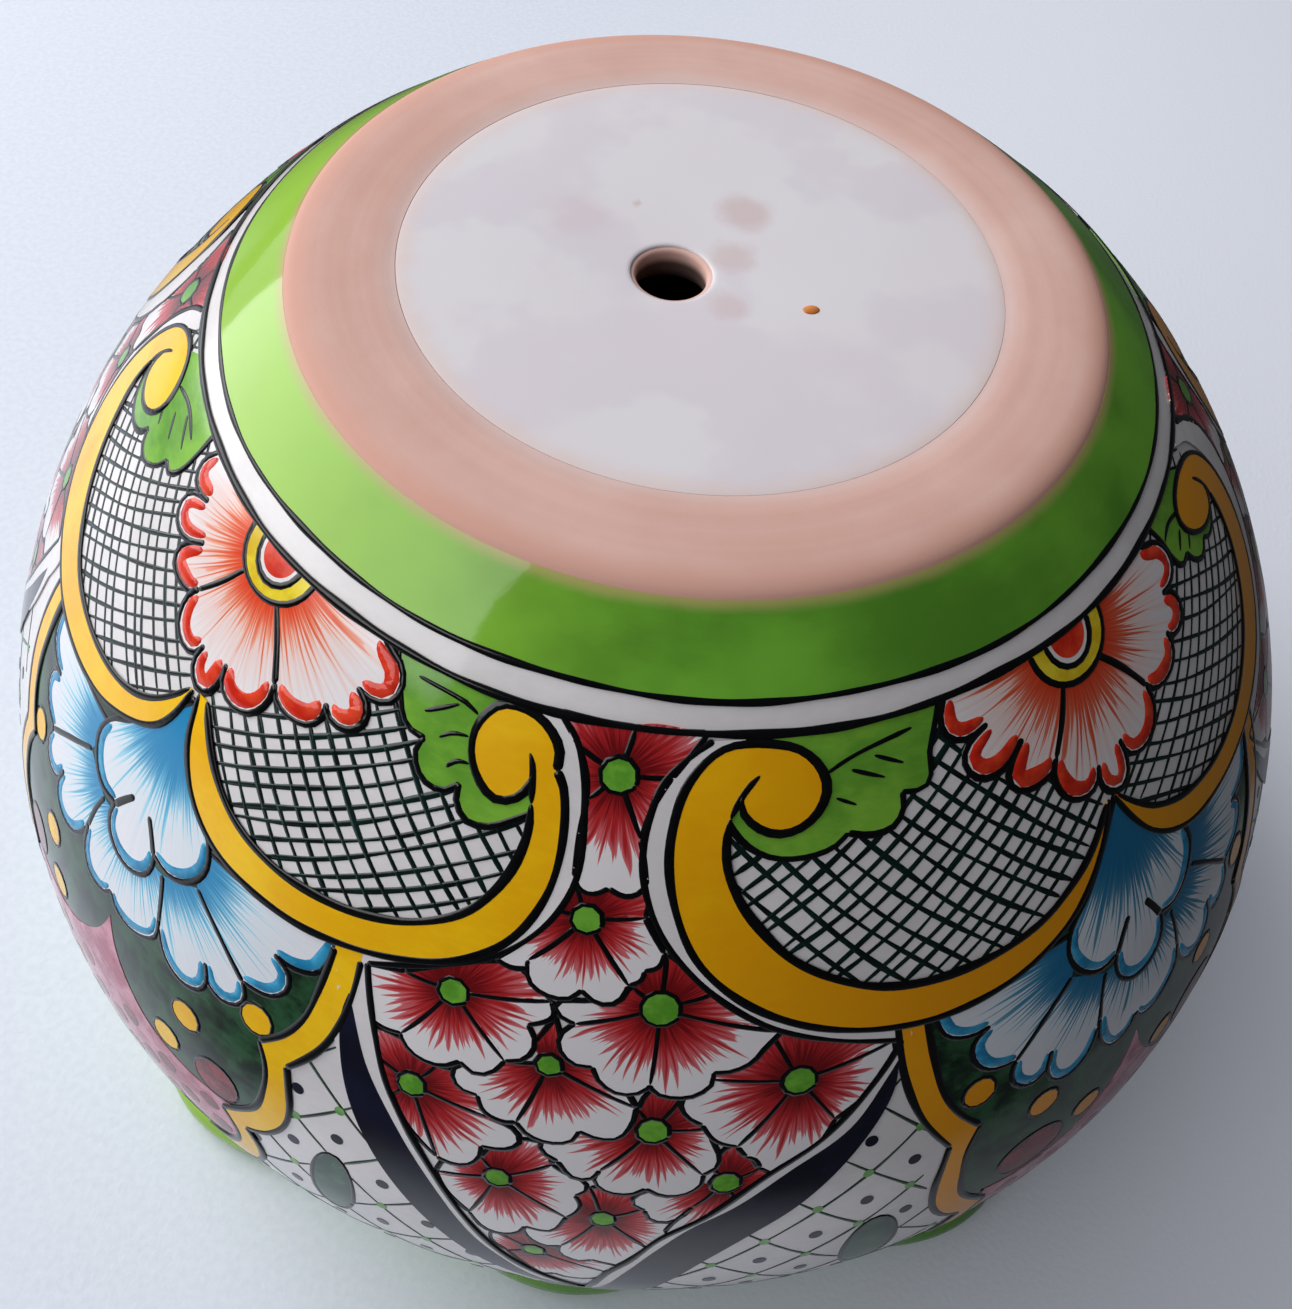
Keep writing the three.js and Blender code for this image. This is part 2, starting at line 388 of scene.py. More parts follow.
def foot_clay():
    """Wiped clay, paler beside the milky disc, rosier at its outer edge, with painted shade darkening the
    inside of the hole.
    """
    material, r, where = new_material("wiped bisque", "#D5A799", 0.8)
    body, normal = fired(r, where, "#E4BEB2", "#D5A799", 0.3)
    radius = ragged_radius(r, where, 45.0, 0.005)
    body = r.mix(r.ramp(radius, 0.0945, 0.1025), body, "#D6A392")
    hole_zone = 0.03
    film = r.times(r.ramp(radius, 0.0765, 0.083, 0.6, 0.0), r.math("GREATER_THAN", radius, hole_zone))
    body = r.mix(film, body, "#E2CBC6")
    # painted shade: near black low inside the drain hole
    painted_hole_shade = r.ramp(r.parted(where)[2], 0.2945, 0.2972, 0.9, 0.0)
    painted_hole_shade = r.times(painted_hole_shade, r.math("LESS_THAN", radius, hole_zone))
    r.coat(r.mix(painted_hole_shade, body, "#33211B"), normal)
    return material


# Rubbed places on the milky disc: where, how wide and how strong
SMUDGES = (((0.0089, 0.0222), 0.0100, 0.45), ((0.0068, 0.0040), 0.0085, 0.38),
           ((0.0072, -0.0138), 0.0070, 0.30), ((-0.0192, 0.0205), 0.0020, 0.45),
           ((-0.0340, 0.0120), 0.0130, 0.15))


def milk_glaze():
    """Thin milky glaze: broad lilac patches, a few rubbed pink smudges and a pinkish rim."""
    milky = "#E2DEE1"
    material, r, where = new_material("milky base glaze", milky, 0.2)
    pool = r.effect(GLAZE, {"Vector": where, "Patch Size": 0.055, "Wave": 0.15})
    blotch = r.ramp(r.noise(where, 17.0, 4.0, 0.55), 0.47, 0.56)
    colour = r.mix(r.times(blotch, 0.42), milky, "#D4C8D4")
    colour = r.mix(r.times(pool["Mask"], 0.3), colour, "#E2D5D8")
    wander = r.times(r.math("SUBTRACT", r.noise(where, 130.0, 3.0, 0.6), 0.5), 0.007)
    for (x, y), size, strength in SMUDGES:
        middle = {0: where, 1: (x, y, SLAB_TOP / 1000)}
        away = r.math("ADD", r.add("VectorMath", middle, operation="DISTANCE").outputs["Value"], wander)
        colour = r.mix(r.ramp(away, size * 0.3, size, strength, 0.0), colour, "#C9A39B")
    radius = r.math("ADD", r.from_axis(where), wander)
    r.coat(r.mix(r.ramp(radius, 0.070, 0.0785, 0.0, 0.85), colour, "#E4CFC9"), pool["Normal"])
    return material


WHITE = glossy_glaze("white ground glaze", "#DFDAD9", "#ECE7E6", 0.05, roughness=0.09)
# The yellow's last colour is painted shade towards the pot's +x side
YELLOW = glossy_glaze("yellow glaze", "#FFCB12", "#F3B00A", 0.03, roughness=0.12, most=0.75,
                      dark_tone_and_shade="#EC9506")
RING_YELLOW = glossy_glaze("pale yellow glaze", "#F2DC3A", "#DDB81C", 0.008)
LEAF = glossy_glaze("leaf green glaze", "#83BC3D", "#55912D", 0.02, most=0.8)
LINE = glossy_glaze("black brush line", "#060607", "#0B0C0E", 0.006, roughness=0.16)
LATTICE = glossy_glaze("thin green-black line", "#0C2722", "#061412", 0.008, roughness=0.18)
NAVY = glossy_glaze("navy glaze", "#0A0B1C", "#13142C", 0.015)
DARK_GREEN = glossy_glaze("mottled dark green glaze", "#2B5535", "#0B1D12", 0.009)
NET = glossy_glaze("thin green line", "#2E4A34", "#16291D", 0.01, roughness=0.18)
DOT_GREEN = glossy_glaze("dot green glaze", "#74B43C", "#55952A", 0.006)
PALE_DOT = glossy_glaze("faint dot green glaze", "#8DBB78", "#5E9A48", 0.006)
OVAL_GREEN = glossy_glaze("oval green glaze", "#3C6B4E", "#1C3D2A", 0.008)
CORAL = glossy_glaze("coral glaze", "#E8482A", "#CE2413", 0.006)
RIM_BLUE = glossy_glaze("blue glaze", "#3FA5CE", "#1D7FAC", 0.006)
PLUM = glossy_glaze("plum glaze", "#93393D", "#5E1F26", 0.006)
PINK = glossy_glaze("pink glaze", "#D68FA0", "#A8485F", 0.01)
DRIP = glossy_glaze("orange drip", "#DC8B45", "#C8702A", 0.004)
CRIMSON_PETALS = petal_glaze("crimson petals", "#6C0F13", "#B22529", "#D67175", "#EAE5E5",
                             hairs=8.0, reach=0.63, ragged=0.36, heart_reach=0.28)
# The colours given last to the coral and blue petals are painted shade towards the pot's +x side
CORAL_PETALS = petal_glaze("coral petals", "#E2401F", "#E8623C", "#F2AA90", "#EFE8E8", hairs=17.0,
                           reach=0.62, ragged=0.5, heart_reach=0.39, wash=0.4, dark_tone_and_shade="#CC3F20")
BLUE_PETALS = petal_glaze("blue petals", "#1C86B8", "#48AFD6", "#AADCEB", "#EAE8EC", hairs=22.0,
                          reach=0.56, ragged=0.42, heart_reach=0.42, wash=0.25, dark_tone_and_shade="#1A6288")
BAND_GREEN = band_green()
BISQUE = foot_clay()
TERRACOTTA = terracotta()
MILK = milk_glaze()


# Turned pieces

def finish_piece(name, bm, material, slot, node=None, sharp=50):
    """Makes a piece of the pot's one body, smooth but for edges sharper than an angle in degrees."""
    mesh = bpy.data.meshes.new(name)
    bm.to_mesh(mesh)
    bm.free()
    mesh.shade_smooth()
    mesh.set_sharp_from_angle(angle=math.radians(sharp))
    piece = bpy.data.objects.new(name, mesh)
    scene.collection.objects.link(piece)
    mesh.materials.append(material)
    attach(piece, "root")
    if node:
        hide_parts(node)
    return piece


def turned_piece(name, outline, material, slot, node, steps=TURNED_STEPS, shape=None):
    """Spins a closed outline of radius and height, in millimetres, round the pot's axis."""
    bm = bmesh.new()
    corners = [bm.verts.new((r / 1000, 0.0, z / 1000)) for r, z in outline]
    for first, second in zip(corners, corners[1:] + corners[:1]):
        bm.edges.new((first, second))
    bmesh.ops.spin(bm, geom=bm.verts[:] + bm.edges[:], cent=(0, 0, 0), axis=(0, 0, 1),
                   angle=2 * math.pi, steps=steps, use_merge=True, use_duplicate=False)
    bmesh.ops.remove_doubles(bm, verts=bm.verts[:], dist=1e-7)
    bmesh.ops.recalc_face_normals(bm, faces=bm.faces[:])
    if shape:
        for vert in bm.verts:
            vert.co = shape(vert.co)
    return finish_piece(name, bm, material, slot, node, 40)


def curve_points(low_angle, high_angle, inset, count):
    radius, height = on_curve(np.linspace(low_angle, high_angle, count), inset)
    return list(zip(radius.tolist(), height.tolist()))


def curve_between(low, high, inset, count):
    """Points on the inset curve between two heights."""
    return curve_points(angle_at_height(low, inset), angle_at_height(high, inset), inset, count)


def bezier(points, count):
    """Points along a Bezier curve of any order."""
    t = np.linspace(0, 1, count)[:, None]
    level = [np.repeat(np.array([point], float), count, 0) for point in points]
    while len(level) > 1:
        level = [a * (1 - t) + b * t for a, b in zip(level, level[1:])]
    return [tuple(point) for point in level[0].tolist()]


def clay_wall(low, high, count):
    outer = curve_between(low, high, CLAY_INSET, count)
    return outer + curve_between(low, high, CLAY_INSET + WALL_THICKNESS, count)[::-1]


def glaze_coat(low_angle, high_angle, inset, count):
    outer = curve_points(low_angle, high_angle, inset, count)
    return outer + curve_points(low_angle, high_angle, COAT_BACK_INSET, count)[::-1]


def foot_ring_outline():
    inner, flat = FOOT_RADIUS - BARE_RING_WIDTH, FOOT_RADIUS - 12
    proud = SLAB_TOP + 0.6
    low_radius, low_height = (float(value) for value in on_curve(BAND_TOP, 0.5))
    shoulder = bezier([(low_radius, low_height), (FOOT_RADIUS - 0.6, proud), (FOOT_RADIUS - 5, FOOT_FACE),
                       (flat, FOOT_FACE)], 13)
    edge = bezier([(inner + 8, FOOT_FACE), (inner + 3.5, FOOT_FACE), (inner + 1.5, proud + 0.02),
                   (inner + 0.1, proud)], 8)
    return shoulder + edge + [(inner, SLAB_TOP), (FOOT_RADIUS - 1.5, SLAB_TOP)]


def floor_slab_outline():
    hole, soft, throat, flare = DRAIN_RADIUS, 1.5, 6.0, 3.6
    sides = curve_between(SLAB_BOTTOM, SLAB_TOP, CLAY_INSET, 5)
    top = bezier([(hole + soft, SLAB_TOP), (hole, SLAB_TOP), (hole, SLAB_TOP - soft)], 5)
    bottom = bezier([(hole, SLAB_TOP - throat), (hole + 0.6, SLAB_BOTTOM + 2),
                     (hole + flare, SLAB_BOTTOM)], 5)
    return sides + top + bottom


def base_glaze_outline():
    outer, inner = FOOT_RADIUS - BARE_RING_WIDTH - 0.05, DRAIN_RADIUS + 1.3
    top = SLAB_TOP + BASE_GLAZE_THICKNESS
    lip = bezier([(outer, SLAB_TOP + 0.55), (outer - 1, top), (outer - 4, top)], 6)
    mouth = bezier([(inner + 1.6, top), (inner, top), (inner, SLAB_TOP)], 5)
    return [(outer, SLAB_TOP)] + lip + mouth


def rim_outline():
    """The lip's section: a rounded rest, a flare that meets the neck, and the throat inside."""
    wall = CLAY_INSET + WALL_THICKNESS
    neck_inner = on_curve(angle_at_height(NECK_HEIGHT, wall), wall)[0]
    lip, thick, rest, roll, reach, draw = NECK_RADIUS + 10.1, 12.0, 5.0, 6.5, 9.0, 2.0
    middle, inner = lip - thick / 2, lip - thick
    outer_roll = bezier([(middle + rest / 2, 0), (lip, 0), (lip, roll)], 7)
    flare = bezier([(lip, roll), (lip, roll + reach), (NECK_RADIUS - draw, NECK_HEIGHT - reach),
                    (NECK_RADIUS, NECK_HEIGHT)], 14)
    throat = bezier([(neck_inner, NECK_HEIGHT), (neck_inner - draw, NECK_HEIGHT - reach),
                     (inner, roll + reach), (inner, roll)], 14)
    inner_roll = bezier([(inner, roll), (inner, 0), (middle - rest / 2, 0)], 7)
    return outer_roll + flare[1:] + throat + inner_roll[1:]


def drain_moved(point):
    """Moves the edge of the drain hole to where it was cut, a little off the axis."""
    near = math.hypot(point.x, point.y) < 1.5 * DRAIN_RADIUS / 1000
    return point + DRAIN_MOVE if near else point


def lobed(point):
    """Moves the lip out and in at its eight pinched lobes, fading out towards the neck."""
    roll, all_lobes, every_second = 9, 9, 7.5
    bearing, radius = math.atan2(point.y, point.x), math.hypot(point.x, point.y)
    rise = min(max((point.z * 1000 - roll) / (NECK_HEIGHT - roll), 0), 1)
    fade = 1 - rise * rise * (3 - 2 * rise)
    shift = fade * (all_lobes * math.cos(8 * bearing) - every_second * math.cos(4 * bearing)) / 1000
    scale = (radius + shift) / radius
    return Vector((point.x * scale, point.y * scale, point.z))


green_edge = float(angle_at_arc(0.0))
coat_foot = angle_at_height(NECK_HEIGHT + 0.6)
turned_piece("clay_floor", floor_slab_outline(), BISQUE, "terracotta", "floor_slab", shape=drain_moved)
turned_piece("bare_foot", foot_ring_outline(), BISQUE, "bisque", "foot_ring")
turned_piece("upper_clay_wall", clay_wall(BELLY_HEIGHT, SLAB_BOTTOM, 40), TERRACOTTA, "terracotta",
             "wall_base_half")
turned_piece("lower_clay_wall", clay_wall(NECK_HEIGHT, BELLY_HEIGHT, 20), TERRACOTTA, "terracotta",
             "wall_mouth_half")
turned_piece("ruffled_rim", rim_outline(), BAND_GREEN, "green_glaze", "rim_ruffle", RIM_STEPS, lobed)
turned_piece("milky_base", base_glaze_outline(), MILK, "base_glaze", "base_glaze", shape=drain_moved)
turned_piece("green_band", glaze_coat(green_edge, BAND_TOP, BAND_INSET, 24), BAND_GREEN, "green_glaze",
             "foot_band_glaze")
turned_piece("white_ground", glaze_coat(coat_foot, green_edge, GROUND_INSET, 110), WHITE,
             "white_glaze", "wall_glaze")


# Painting on the unrolled pot: points are degrees round from the front, and millimetres of arc

C = 1  # marks a corner
BAND_LINE_ARC = 7
LINE_ENDS = 0.3, 0.3  # plain round ends

# How high the paint of each part stands on the ground glaze, in millimetres
NET_LEVEL = 0.07
GROUND_LEVEL = 0.10
LATTICE_LEVEL = 0.12
SPOT_LEVEL = 0.20
LEAF_LEVEL = 0.30
BORDER_LEVEL = 0.50
FRAME_LEVEL = 0.51
NAVY_LEVEL = 0.53
SCROLL_LEVEL = 0.60

fills = {}
strokes = {}
rng = random.Random(7)


def smooth_run(points):
    """Dense points on a smooth curve through a few."""
    points = np.array(points, float)
    if len(points) < 3:
        return points
    scale = np.array([degree_width(points[:, 1].mean()), 1.0])
    gaps = np.sqrt(np.hypot(*(np.diff(points, axis=0) * scale).T))[:, None]
    slopes = np.diff(points, axis=0) / gaps
    tangents = np.empty_like(points)
    tangents[1:-1] = (slopes[:-1] * gaps[1:] + slopes[1:] * gaps[:-1]) / (gaps[:-1] + gaps[1:])
    tangents[0] = 1.5 * slopes[0] - 0.5 * tangents[1]
    tangents[-1] = 1.5 * slopes[-1] - 0.5 * tangents[-2]
    t = np.linspace(0, 1, 10, endpoint=False)[None, :, None]
    a, b = points[:-1, None], points[1:, None]
    da, db = (tangents[:-1] * gaps)[:, None], (tangents[1:] * gaps)[:, None]
    curve = ((2 * t**3 - 3 * t**2 + 1) * a + (t**3 - 2 * t**2 + t) * da
             + (3 * t**2 - 2 * t**3) * b + (t**3 - t**2) * db)
    return np.vstack([curve.reshape(-1, 2), points[-1:]])


def evenly(points, spacing):
    """The same path with points a steady distance apart on the pot."""
    scale = local_scale((points[1:, 1] + points[:-1, 1]) / 2)
    steps = np.hypot(*(np.diff(points, axis=0) * scale).T)
    along = np.concatenate([[0], np.cumsum(steps)])
    count = max(int(round(along[-1] / spacing)), 1) + 1
    wanted = np.linspace(0, along[-1], count)
    return np.stack([np.interp(wanted, along, points[:, i]) for i in (0, 1)], 1)


def runs_of(points):
    """Splits a traced line at its corners, which carry a third value."""
    runs, current = [], []
    for point in points:
        current.append(point[:2])
        if len(point) > 2 and len(current) > 1:
            runs.append(current)
            current = [point[:2]]
    if len(current) > 1:
        runs.append(current)
    return runs


def path(points, spacing=2.2):
    parts = [evenly(smooth_run(run), spacing) for run in runs_of(points)]
    return np.vstack([parts[0]] + [part[1:] for part in parts[1:]])


def square_ends(points):
    """The same traced line with a corner at each end."""
    return [(*points[0][:2], C), *points[1:-1], (*points[-1][:2], C)]


def shifted(points, move=0.0, flip=False, centre=0.0, wide=1.0, tall=1.0):
    """Traced points mirrored, widened about a centre, moved round, and stretched down from the band."""
    made = []
    for point in points:
        bearing = (centre - point[0] if flip else point[0] - centre) * wide
        arc = BAND_LINE_ARC + (point[1] - BAND_LINE_ARC) * tall
        made.append((bearing + centre + move, arc, *point[2:]))
    return made


def fill(name, outline, height, heart=None, reach=1.0):
    """Adds a filled shape. Petals carry the heart that their brush hairs start from."""
    closed = list(outline) + [outline[0][:2]]
    tall = max(point[1] for point in outline) - min(point[1] for point in outline)
    spacing = min(max(tall / 9, 0.5), 2.2)
    fills.setdefault(name, []).append((path(closed, spacing)[:-1], height, heart, reach))


def stroke(name, points, width, height, ends=(0.5, 0.5), ragged=0.12, swell=None):
    """Adds a brush stroke. ends give how far it thins at its start and end, in stroke widths. Up to half
    a width they are plain round ends."""
    if isinstance(points, np.ndarray):
        strokes.setdefault(name, []).append((points, width, height, ends, ragged, swell))
        return
    runs = runs_of(points)
    for number, run in enumerate(runs):
        first = ends[0] if number == 0 else LINE_ENDS[0]
        last = ends[1] if number == len(runs) - 1 else LINE_ENDS[1]
        stroke(name, evenly(smooth_run(run), 1.0), width, height, (first, last), ragged)


def oval(centre, wide, tall, count=14):
    """A closed ring of points round a centre; wide is in degrees and tall in millimetres."""
    turns = np.linspace(0, 2 * math.pi, count, endpoint=False)
    return [(centre[0] + wide * math.cos(t), centre[1] + tall * math.sin(t)) for t in turns]


def ring_line(ring, width, height):
    """A brush line round a closed ring of points."""
    dense = smooth_run(list(ring) + list(ring[:3]))
    around = dense[10 : 10 * len(ring) + 11]
    stroke("outlines", evenly(around, 1.0), width, height, LINE_ENDS)


def rim_marks(name, edge, heart, width, height):
    """Crescents of paint that fill the inside of each scallop of a petal's edge."""
    inset = 0.75
    for run in runs_of(edge):
        dense = evenly(smooth_run(run), 0.8)
        if len(dense) < 6:
            continue
        scale = np.array([degree_width(dense[:, 1].mean()), 1.0])
        normal = sideways(np.gradient(dense * scale, axis=0), 1e-6)
        towards = ((np.array(heart) - dense) * scale * normal).sum()
        normal *= 1 if towards > 0 else -1
        bulge = np.sin(np.linspace(0.08, 0.92, len(dense)) * math.pi) ** 0.45
        across = min(width, 0.28 * len(dense)) * rng.uniform(0.9, 1.1)
        middle = dense + normal * (inset + across * bulge / 2)[:, None] / scale
        stroke(name, middle, across, height, LINE_ENDS, swell=bulge)


def sideways(along, least):
    """Unit directions square to others."""
    along = along / np.maximum(np.hypot(*along.T), least)[:, None]
    return np.stack([-along[:, 1], along[:, 0]], 1)


def petal_reach(heart, edge):
    points = np.array([p[:2] for p in edge])
    scale = np.array([degree_width(points[:, 1].mean()), 1.0])
    return float(np.hypot(*((points - np.array(heart)) * scale).T).max())


def blossom(heart, size, dividers, edges, height):
    """A flower of the red panel, with lines between its petals and a green centre."""
    line_height = height + 0.018
    for edge in edges:
        above = heart[1] - sum(point[1] for point in edge) / len(edge)
        reach = max(petal_reach(heart, edge), 5.4 * size) * (1.5 if above > 2 else 1.0)
        fill("panel_petals", [(*heart, C), *edge[:-1], (*edge[-1][:2], C)], height, heart, reach)
        stroke("outlines", edge, 1.55, line_height)
    joints = np.array([edge[end][:2] for edge in edges for end in (0, -1)])
    width_here = degree_width(heart[1])
    for end in dividers:
        away = np.hypot(*((joints - end) * (3.2, 1.0)).T)
        end = joints[away.argmin()] if away.min() < 7 else end
        along = end - np.array(heart)
        start = np.array(heart) + along * size / math.hypot(along[0] * width_here, along[1])
        stroke("outlines", [tuple(start), tuple((start + end) / 2 + (0.06, 0.2)), tuple(end)], 1.4,
               line_height, ends=(0.3, 0.9))
    radius = 1.07 * size
    centre = oval(heart, radius / width_here, radius)
    fill("green_centres", centre, height + 0.036)
    ring_line(centre, 1.25, height + 0.052)


# The red flowered panels

# Each flower's heart, the size of its centre, the outer ends of the lines between its petals, its
# petals' edges, and its level: where flowers overlap, the higher level shows
PANEL_BLOSSOMS = [
    ((-1.15, 17.75), 3.9, [(-0.3, 7.3), (3.7, 16.9), (1.5, 31.2), (-3.6, 24), (-5.2, 13.1)], [
        [(-5.2, 13.1), (-7.6, 7, C), (-0.3, 7)],
        [(-0.3, 7), (6.6, 7, C), (3.7, 16.9)],
        [(3.7, 16.9), (2.2, 24), (1.5, 31.2)],
        [(1.5, 31.2), (2.0, 36), (2.4, 41.6, C), (1.8, 43.8), (0.8, 44.7), (-0.6, 43.3, C),
         (-1.9, 45.3), (-2.9, 44.6), (-3.5, 42, C), (-3.7, 33), (-3.6, 24)],
        [(-3.6, 24), (-4, 19), (-5.2, 13.1)]], 5),
    ((-1.97, 51.4), 3.4, [(-3.5, 43), (2.6, 49.2), (1.95, 66.3), (-5.9, 64.2), (-4.5, 50.3)], [
        [(-3.6, 42.1), (0, 41), (2.5, 41.6), (2.6, 49.2)],
        [(2.6, 49.2), (3.6, 54), (4.4, 57.5, C), (4.1, 61), (3, 62.3, C), (2.9, 64.6), (1.95, 66.3)],
        [(1.95, 66.3, C), (1.7, 69.3), (0.8, 71.9), (-0.45, 71.6), (-1.55, 69, C), (-2.3, 71.8),
         (-3.7, 72.4), (-5.3, 70.4), (-5.9, 66.7), (-5.9, 64.2)],
        [(-5.9, 66.5), (-7.1, 67.2), (-8.4, 66, C), (-6, 58), (-4.5, 50.3)],
        [(-4.5, 50.3), (-4.3, 46), (-3.6, 42.1)]], 4),
    ((4.58, 71.8), 4.3, [(2.3, 66.7), (4.7, 60), (7.5, 67.6), (12.1, 79.4), (4.4, 94.1), (-1.6, 78.3)], [
        [(2.3, 66.7), (3, 62.5), (4.6, 57.5)],
        [(4.6, 57.5), (6.6, 61.6), (8.7, 67)],
        [(8.7, 67), (11.6, 73.4), (13.9, 78.4)],
        [(13.9, 78.4), (12.6, 83), (11.7, 86.8), (10, 89.2), (8.9, 89.1, C), (8.9, 92.6),
         (7.7, 96.2), (6, 96.9), (4.7, 95.4), (4.4, 93.2)],
        [(4.4, 93.2), (4, 95.4), (2.3, 96.8), (0.8, 94), (0.1, 89.6, C), (-1.2, 89.8), (-2.4, 86.6),
         (-2.6, 82.4), (-1.6, 78.3)],
        [(-1.6, 78.3), (-2.8, 77), (-3.3, 73.7), (0, 71), (2.3, 66.7)]], 3),
    ((-11.04, 77.9), 3.5, [(-3.8, 73.6), (-6.3, 92.9), (-14.2, 94.7), (-15, 77.6)], [
        [(-15, 77.5), (-11, 70), (-7, 66), (-5, 70), (-3.6, 73.5)],
        [(-3.6, 73.5), (-3.3, 77.6), (-5.1, 81.2, C), (-4.3, 85.9), (-4.9, 91), (-6.3, 92.9)],
        [(-6.3, 92.9), (-7, 97), (-8.2, 99.2), (-9.5, 96.7, C), (-10.9, 100.1), (-12.9, 99.6),
         (-14.1, 96.2), (-14.2, 94.7)],
        [(-14.2, 94.7), (-15.6, 95.3), (-17.2, 94, C), (-18.2, 80, C), (-15, 77.5)]], 3),
    ((-3.05, 91.2), 3.1, [(-6.2, 92.9), (-4.75, 110.6), (3.6, 100.6)], [
        [(-4.4, 86), (-3.1, 77.6, C), (-2.4, 84.5), (-2.2, 88)],
        [(-2.2, 87), (0, 89.7), (2, 93), (3.6, 100.6)],
        [(3.6, 100.6), (3.5, 105), (2.6, 110.8), (1.2, 111.5), (-0.25, 109.8, C), (-0.7, 113.6),
         (-2.2, 115.3), (-3.8, 114), (-4.75, 110.6)],
        [(-4.75, 110.6, C), (-5.6, 111.6), (-7.1, 110), (-7.8, 105.3, C), (-9.3, 104.6), (-9.9, 100),
         (-8.5, 96), (-6.2, 92.9)]], 2),
    ((15.4, 93.5), 4.0, [(12.9, 79.5), (21.5, 87.6), (18.2, 107), (11.2, 112.6), (9.2, 91.3)], [
        [(12.8, 77), (17.6, 82.2), (22.7, 87)],
        [(22.7, 87), (22.6, 95), (18.3, 107.6)],
        [(18.3, 107.6), (17, 116), (14.6, 124), (13, 121, C), (12.6, 117.8), (11.9, 116.7, C),
         (11.2, 113)],
        [(11.2, 112.8), (9.6, 110.7), (8.5, 105.3, C), (7.2, 102.3), (6.8, 97.6), (8.2, 93),
         (8.9, 91.2)],
        [(8.9, 91.2), (9, 86), (12.8, 77)]], 2),
    ((5.0, 107.6), 3.8, [(3.8, 101.2), (7, 96.2), (9, 106.6), (8.8, 122), (1.7, 122)], [
        [(3.8, 101.2), (4.6, 95), (7, 95.3)],
        [(7, 95.3), (7.3, 102.4), (9, 106.5)],
        [(9, 106.5), (9.3, 110.6), (9.9, 115.3), (9.9, 119.6), (8.9, 122.4)],
        [(8.9, 122.4), (8.9, 126), (7.8, 129.9), (6.3, 130.6), (5, 127.9, C), (4, 130.6), (2.3, 130.3),
         (1.3, 126.5), (1.6, 122.4)],
        [(1.6, 122.4), (1.1, 125.9), (-0.1, 126.6), (-1.4, 121.2, C), (-2.6, 118.8), (-2.8, 115.5),
         (0, 107), (3.8, 101.2)]], 1),
    ((-12.7, 108.8), 3.5, [(-11.2, 101), (-6.8, 111.5), (-10, 130), (-13.9, 113.6), (-15.4, 104.8)], [
        [(-15.4, 104.7), (-17, 97), (-13, 97), (-11.2, 100.6)],
        [(-11.2, 100.6), (-8, 101), (-6.7, 111.5)],
        [(-6.7, 111.5), (-4.7, 113.8), (-4.3, 117.6), (-5.2, 120.8), (-7, 121.8, C), (-7, 126),
         (-7.8, 130.4), (-9.2, 131.5), (-10, 130.6)],
        [(-10, 130.6), (-12.4, 123), (-14, 114)],
        [(-14, 114), (-15.6, 108), (-15.4, 104.7)]], 1),
    ((10.65, 125.9), 3.7, [(10.2, 117), (12.9, 122.5), (11.6, 134.8), (8.6, 134.8)], [
        [(9.4, 119), (11, 112), (12.9, 121.5)],
        [(12.9, 121.5), (14.6, 124), (13, 130), (11.7, 135.3)],
        [(11.7, 135.3), (10.4, 141), (7.9, 149.2), (6.8, 146.8, C), (7.2, 143), (8.5, 135.3)],
        [(8.5, 135.3), (7.6, 140.6), (6.5, 142.4), (5.4, 140.2), (5.2, 137, C), (4.2, 134.4),
         (4.4, 131), (7, 126)]], 0),
    ((-5.5, 132.1), 3.3, [(-1.9, 123.4), (-6.7, 126), (-9.8, 136.4), (-7.2, 150), (-0.4, 142.8)], [
        [(-6.8, 126), (-5.5, 118), (-2.6, 116), (-1.8, 122.9)],
        [(-1.8, 122.9), (-1, 124.9), (0.6, 127.4), (0.9, 130.6), (0.1, 133.5, C), (0.6, 137.8),
         (0.1, 142.2), (-0.3, 143.5)],
        [(-0.3, 143.5), (-0.6, 147.4), (-1.3, 151.6), (-3.1, 151.4, C), (-3.5, 155.4), (-4.6, 158.1),
         (-5.9, 157.4), (-7.2, 150.6)],
        [(-7.2, 150.6), (-8.9, 144), (-9.9, 136.5)],
        [(-9.9, 136.5), (-9.2, 130), (-6.8, 126)]], 0),
    ((2.3, 142.4), 3.1, [(1.2, 130.6), (5, 136.6), (5.7, 154.8), (-0.4, 158.2)], [
        [(-0.8, 138), (0.4, 130), (1.1, 129.4)],
        [(1.1, 129.4), (3.8, 129.8), (5, 136.5)],
        [(5, 136.5), (7.6, 141), (7.9, 149.5), (5.7, 155.3)],
        [(5.7, 155.3), (4.9, 161), (3.8, 167.8, C), (2.8, 166.6), (1.9, 165.2, C), (1.2, 167.1),
         (-0.1, 164.8), (-0.6, 161.2), (-0.4, 158.8)],
        [(-0.4, 158.8), (-1.5, 160.2), (-2.6, 157.8), (-3.2, 152), (-0.8, 138)]], -1),
    ((-2.3, 164.5), 3.0, [(-3.6, 157), (-4.2, 168), (2.9, 173)], [
        [(-5.4, 157), (-2.6, 152), (-0.6, 158)],
        [(-0.6, 158), (1.6, 163), (4.2, 167), (3, 173.5)],
        [(3, 173.5), (2.9, 178), (2, 182.2), (0.4, 183.4), (-0.6, 180.8, C), (-1.4, 183), (-2.2, 179),
         (-4.2, 168)],
        [(-4.2, 168), (-5.4, 163), (-5.4, 157)]], -2),
]
